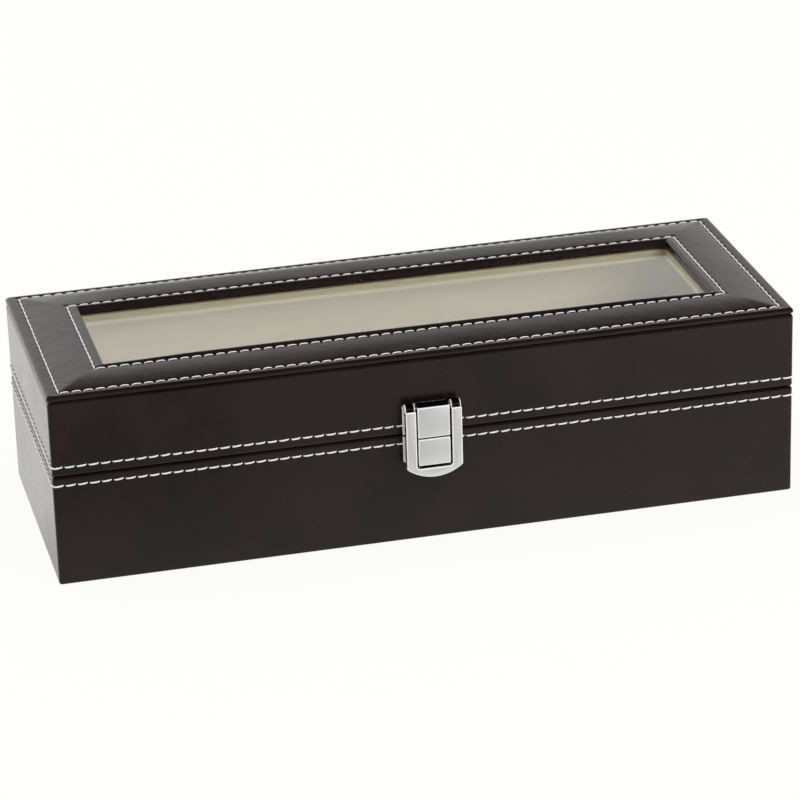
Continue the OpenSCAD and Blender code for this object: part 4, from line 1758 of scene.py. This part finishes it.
@dataclass
class Hinges:
    """Two butt hinges on the back wall, with their pins and cross-head screws (mm)."""

    places: tuple[float, float] = (-85.0, 85.0)
    axis_y: float = 57.4
    axis_z: float = 45.7
    width: float = 30.0
    leaf_high: float = 13.0
    leaf_clear: float = 2.35
    leaf_t: float = 1.0
    leaf_r: float = 2.0
    leaf_bevel: float = 0.15
    root_r: float = 0.5
    corner_steps: int = 6
    wall_y: float = 54.9
    knuckle_r: float = 2.2
    middle_w: float = 10.0
    end_w: float = 9.7
    end_x: float = 10.15
    pin_r: float = 1.1
    screw_x: float = 9.0
    screw_z: float = 7.75
    head_r: float = 1.8
    head_t: float = 0.75
    head_gap: float = 0.08
    shank_r: float = 0.85
    shank_gap: float = 0.15
    strap_in: float = 0.05
    strap_on: float = 0.6
    strap_sunk: float = 0.03
    shank_l: float = 5.2
    slot_w: float = 0.42
    slot_l: float = 2.2
    slot_depth: float = 0.55

    def leaf_outline(self, centre: float, side: int) -> list[Flat]:
        """Front view of one leaf, with rounded corners.

        Args:
            centre: Where the hinge is.
            side: 1 for the lid's leaf, above, or -1 for the base's.

        Returns:
            Points (x, z).
        """
        low, high = self.leaf_clear, self.leaf_high
        half = self.width / 2
        points = []
        for cx, cz, from_angle in (
            (half - self.leaf_r, high - self.leaf_r, 0),
            (-half + self.leaf_r, high - self.leaf_r, 90),
            (-half + self.root_r, low + self.root_r, 180),
            (half - self.root_r, low + self.root_r, 270),
        ):
            radius = self.leaf_r if from_angle < 180 else self.root_r
            for k in range(self.corner_steps + 1):
                a = math.radians(from_angle + 90 * k / self.corner_steps)
                z = cz + radius * math.sin(a)
                points.append((centre + cx + radius * math.cos(a), self.axis_z + side * z))
        return points

    def knuckle(self, middle: float, long: float) -> Mould:
        """One rolled knuckle round the pin.

        Args:
            middle: The middle of it, along the box.
            long: Its length.

        Returns:
            Its mould.
        """
        r = self.knuckle_r
        end = [(0.0, self.pin_r + BORE_CLEAR), (0.0, r - 0.25), (0.08, r - 0.08), (0.25, r)]
        return turned(Vector((middle - long / 2, self.axis_y, self.axis_z)), long, end, BARREL_SIDES)

    def leaf(self, centre: float, side: int) -> Mould:
        """One leaf with its knuckles and the strap that joins them.

        Args:
            centre: Where the hinge is.
            side: 1 for the lid's leaf or -1 for the base's.

        Returns:
            Its mould.
        """
        outer = self.wall_y + self.leaf_t
        mould = Mould().upright_plate(self.leaf_outline(centre, side), outer, self.wall_y)
        bore = self.shank_r + self.shank_gap
        sink = [(0.0, self.head_r + self.head_gap), (self.head_t, bore), (self.leaf_t + 0.6, bore)]
        for x in (-self.screw_x, self.screw_x):
            hole = Vector((centre + x, outer + 0.02, self.axis_z + side * self.screw_z))
            mould.carve(Mould().lathe(sink, hole, FORWARD, PIN_SIDES))
        mould.soften(self.leaf_bevel, 2, 50.0)
        own = [(0.0, self.middle_w)] if side > 0 else [(-self.end_x, self.end_w), (self.end_x, self.end_w)]
        for x, long in own:
            mould.add(self.knuckle(centre + x, long))
            reach = long / 2 - self.strap_in
            z_to = self.axis_z + side * (self.leaf_clear + self.strap_on)
            strap = rectangle(centre + x - reach, centre + x + reach, z_to, self.axis_z)
            mould.add(Mould().upright_plate(strap, outer - self.strap_sunk, self.wall_y + self.strap_sunk))
        return mould

    def screw(self, x: float, z: float) -> Mould:
        """One countersunk screw with a cross in its head.

        Args:
            x: Its place along the box.
            z: Its height.

        Returns:
            Its mould.
        """
        face = self.wall_y + self.leaf_t
        profile = [(0.0, 1.30), (0.04, self.head_r - 0.15), (0.14, self.head_r), (0.2, self.head_r)]
        profile += [(0.85, self.shank_r), (self.shank_l - 0.6, self.shank_r), (self.shank_l, 0.25)]
        mould = Mould().lathe(profile, Vector((x, face, z)), FORWARD, SCREW_SIDES)
        for wide, high in ((self.slot_l, self.slot_w), (self.slot_w, self.slot_l)):
            bit = rectangle(x - wide / 2, x + wide / 2, z - high / 2, z + high / 2)
            mould.carve(Mould().upright_plate(bit, face + 0.5, face - self.slot_depth))
        return mould

    def build(self) -> None:
        """Make both hinges, their pins and their screws."""
        halves = ((-1, Body.BASE), (1, Body.LID))
        dome = [(0.0, 0.6), (0.1, 0.9), (0.3, self.pin_r)]
        for label, centre in zip(("left", "right"), self.places):
            for side, body in halves:
                name, node = f"{label}_{body.value}_hinge_leaf", f"{label}_hinge_{body.value}_leaf"
                self.leaf(centre, side).piece(name, NICKEL, body, [node], SHARP)
            start = Vector((centre - self.width / 2, self.axis_y, self.axis_z))
            name, node = f"{label}_knuckle_pin", f"{label}_hinge_pin"
            pin = turned(start, self.width, dome, PIN_SIDES)
            pin.piece(name, NICKEL, Body.BASE, [node], SHARP)
        for side, body in halves:
            screws = Mould()
            for centre in self.places:
                for x in (-self.screw_x, self.screw_x):
                    screws.add(self.screw(centre + x, self.axis_z + side * self.screw_z))
            name, node = f"{body.value}_hinge_screw_set", f"hinge_{body.value}_screws"
            screws.piece(name, NICKEL, body, [node], SHARP)


# ---- Studio ----------------------------------------------------------------


@dataclass
class Studio:
    """A pale floor, soft light and the camera (metres and degrees)."""

    azimuth: float = -13.11
    elevation: float = 23.14
    roll: float = -1.78
    distance: float = 1.508
    look_at: Colour = (0.0, 0.0, 0.040)
    shift_x: float = -0.0010
    shift_y: float = 0.0030
    lens: float = 167.04
    white: Colour = (1.0, 1.0, 0.975)
    bright_until: float = 0.40
    dark_from: float = 0.565
    horizon: float = 1.2
    overhead: float = 0.10
    front_sky: float = 0.25
    front_band: Flat = (-0.35, 0.15)
    left_sky: float = 1.45
    left_band: Flat = (0.04, 0.17)
    ambient: float = 0.62
    floor_left: float = 0.32
    floor_right: float = 1.05
    floor_across: Flat = (-0.15, 0.35)
    floor_behind: float = 1.32
    floor_depth: Flat = (-0.14, 0.02)
    floor_tone: Colour = (0.86, 0.86, 0.85)
    shown_glow: float = 0.93
    mirrored_glow: float = 0.85

    def camera(self) -> None:
        """Stand the camera."""
        a = math.radians(self.azimuth)
        e = math.radians(self.elevation)
        r = math.radians(self.roll)
        back = Vector((math.sin(a) * math.cos(e), -math.cos(a) * math.cos(e), math.sin(e)))
        flat_x = Vector((0, 0, 1)).cross(back).normalized()
        flat_y = back.cross(flat_x)
        x = flat_x * math.cos(r) + flat_y * math.sin(r)
        y = flat_y * math.cos(r) - flat_x * math.sin(r)
        place = Vector(self.look_at) + back * self.distance - x * self.shift_x - y * self.shift_y
        lens = bpy.data.cameras.new("studio_camera")
        lens.lens = self.lens
        lens.sensor_width = 36.0
        lens.sensor_fit = "HORIZONTAL"
        lens.clip_start = 0.05
        lens.clip_end = 20.0
        camera = bpy.data.objects.new("studio_camera", lens)
        camera.matrix_world = Matrix((
            (x.x, y.x, back.x, place.x),
            (x.y, y.y, back.y, place.y),
            (x.z, y.z, back.z, place.z),
            (0, 0, 0, 1),
        ))
        bpy.context.scene.collection.objects.link(camera)
        bpy.context.scene.camera = camera

    def world(self) -> None:
        """Light from all round: white near the horizon for reflections, darker overhead and in front."""
        world = bpy.data.worlds.new("studio_world")
        world.use_nodes = True
        world.cycles.sampling_method = "NONE"
        bpy.context.scene.world = world
        bench = NodeBench(world.node_tree, "ShaderNodeOutputWorld")
        way = bench.wire("ShaderNodeTexCoord", "Generated", {})
        rise = bench.axis(way, "Z")
        low_sky = bench.spread(rise, (0.0, self.bright_until), (self.horizon, 1.0))
        high_sky = bench.spread(rise, (self.bright_until, self.dark_from), (1.0, self.overhead))
        front_sky = bench.spread(bench.axis(way, "Y"), self.front_band, (self.front_sky, 1.0))
        left_sky = bench.spread(bench.axis(way, "X"), self.left_band, (self.left_sky, 1.0))
        sky = bench.times(bench.times(bench.times(low_sky, high_sky), front_sky), left_sky)
        seen = bench.choose(bench.ray("Glossy"), self.ambient, sky)
        shown = bench.choose(bench.ray("Camera"), seen, 1.0)
        sources = {"Color": (*self.white, 1.0), "Strength": shown}
        light = bench.wire("ShaderNodeBackground", "Background", sources)
        bench.feed(bench.output, {"Surface": light})

    def floor_sheen(self, bench: NodeBench) -> Socket:
        """How bright the floor shows in polished faces: dim in front on the left, bright behind.

        Args:
            bench: The floor material's nodes.

        Returns:
            The strength.
        """
        ends = (self.floor_left, self.floor_right)
        across = bench.spread(bench.axis(bench.place, "X"), self.floor_across, ends)
        behind = bench.spread(bench.axis(bench.place, "Y"), self.floor_depth, (0.0, 1.0))
        return bench.choose(behind, across, self.floor_behind)

    def floor(self) -> None:
        """Lay a pale floor that shows white and keeps the box's shadow."""
        shape = bmesh.new()
        bmesh.ops.create_grid(shape, x_segments=8, y_segments=8, size=6.0)
        floor = stand("studio_floor", shape)
        material = bpy.data.materials.new("pale_floor")
        material.use_nodes = True
        material.cycles.emission_sampling = "NONE"
        bench = NodeBench(material.node_tree)
        lit = bench.wire("ShaderNodeBsdfDiffuse", "BSDF", {"Color": (*self.floor_tone, 1.0)})
        strength = bench.choose(bench.ray("Glossy"), 1.0, self.floor_sheen(bench))
        sources = {"Color": (*self.white, 1.0), "Strength": strength}
        glow = bench.wire("ShaderNodeEmission", "Emission", sources)
        seen = bench.maths("MAXIMUM", bench.ray("Camera"), bench.ray("Transmission"))
        mirrored = bench.times(bench.ray("Glossy"), self.mirrored_glow)
        bench.show(bench.maths("MAXIMUM", bench.times(seen, self.shown_glow), mirrored), lit, glow)
        floor.data.materials.append(material)

    def lamp(self, name: str, place: Colour, size: float, watts: float) -> None:
        """Hang one soft square lamp that looks at the box.

        Args:
            name: Its name.
            place: Where it hangs.
            size: The length of its side.
            watts: Its power.
        """
        light = bpy.data.lights.new(name, "AREA")
        light.shape = "SQUARE"
        light.size = size
        light.energy = watts
        lamp = bpy.data.objects.new(name, light)
        lamp.location = place
        lamp.rotation_euler = (Vector(self.look_at) - Vector(place)).to_track_quat("-Z", "Y").to_euler()
        lamp.visible_glossy = False
        bpy.context.scene.collection.objects.link(lamp)

    def build(self) -> None:
        """Set the whole studio up."""
        self.camera()
        self.world()
        self.floor()
        self.lamp("key_lamp", (1.1, -1.5, 1.5), 1.2, 22.0)
        self.lamp("top_lamp", (-0.5, 0.5, 1.8), 1.4, 14.0)
        bpy.context.scene.view_settings.view_transform = "Standard"


def main() -> None:
    """Build the watch box in its studio, sub-assembly by sub-assembly."""
    logging.basicConfig(level=logging.INFO, format="%(message)s")
    Studio().build()
    Case().build()
    Lining().build()
    Cushions().build()
    Latch().build()
    Hinges().build()


if __name__ == "__main__":
    main()
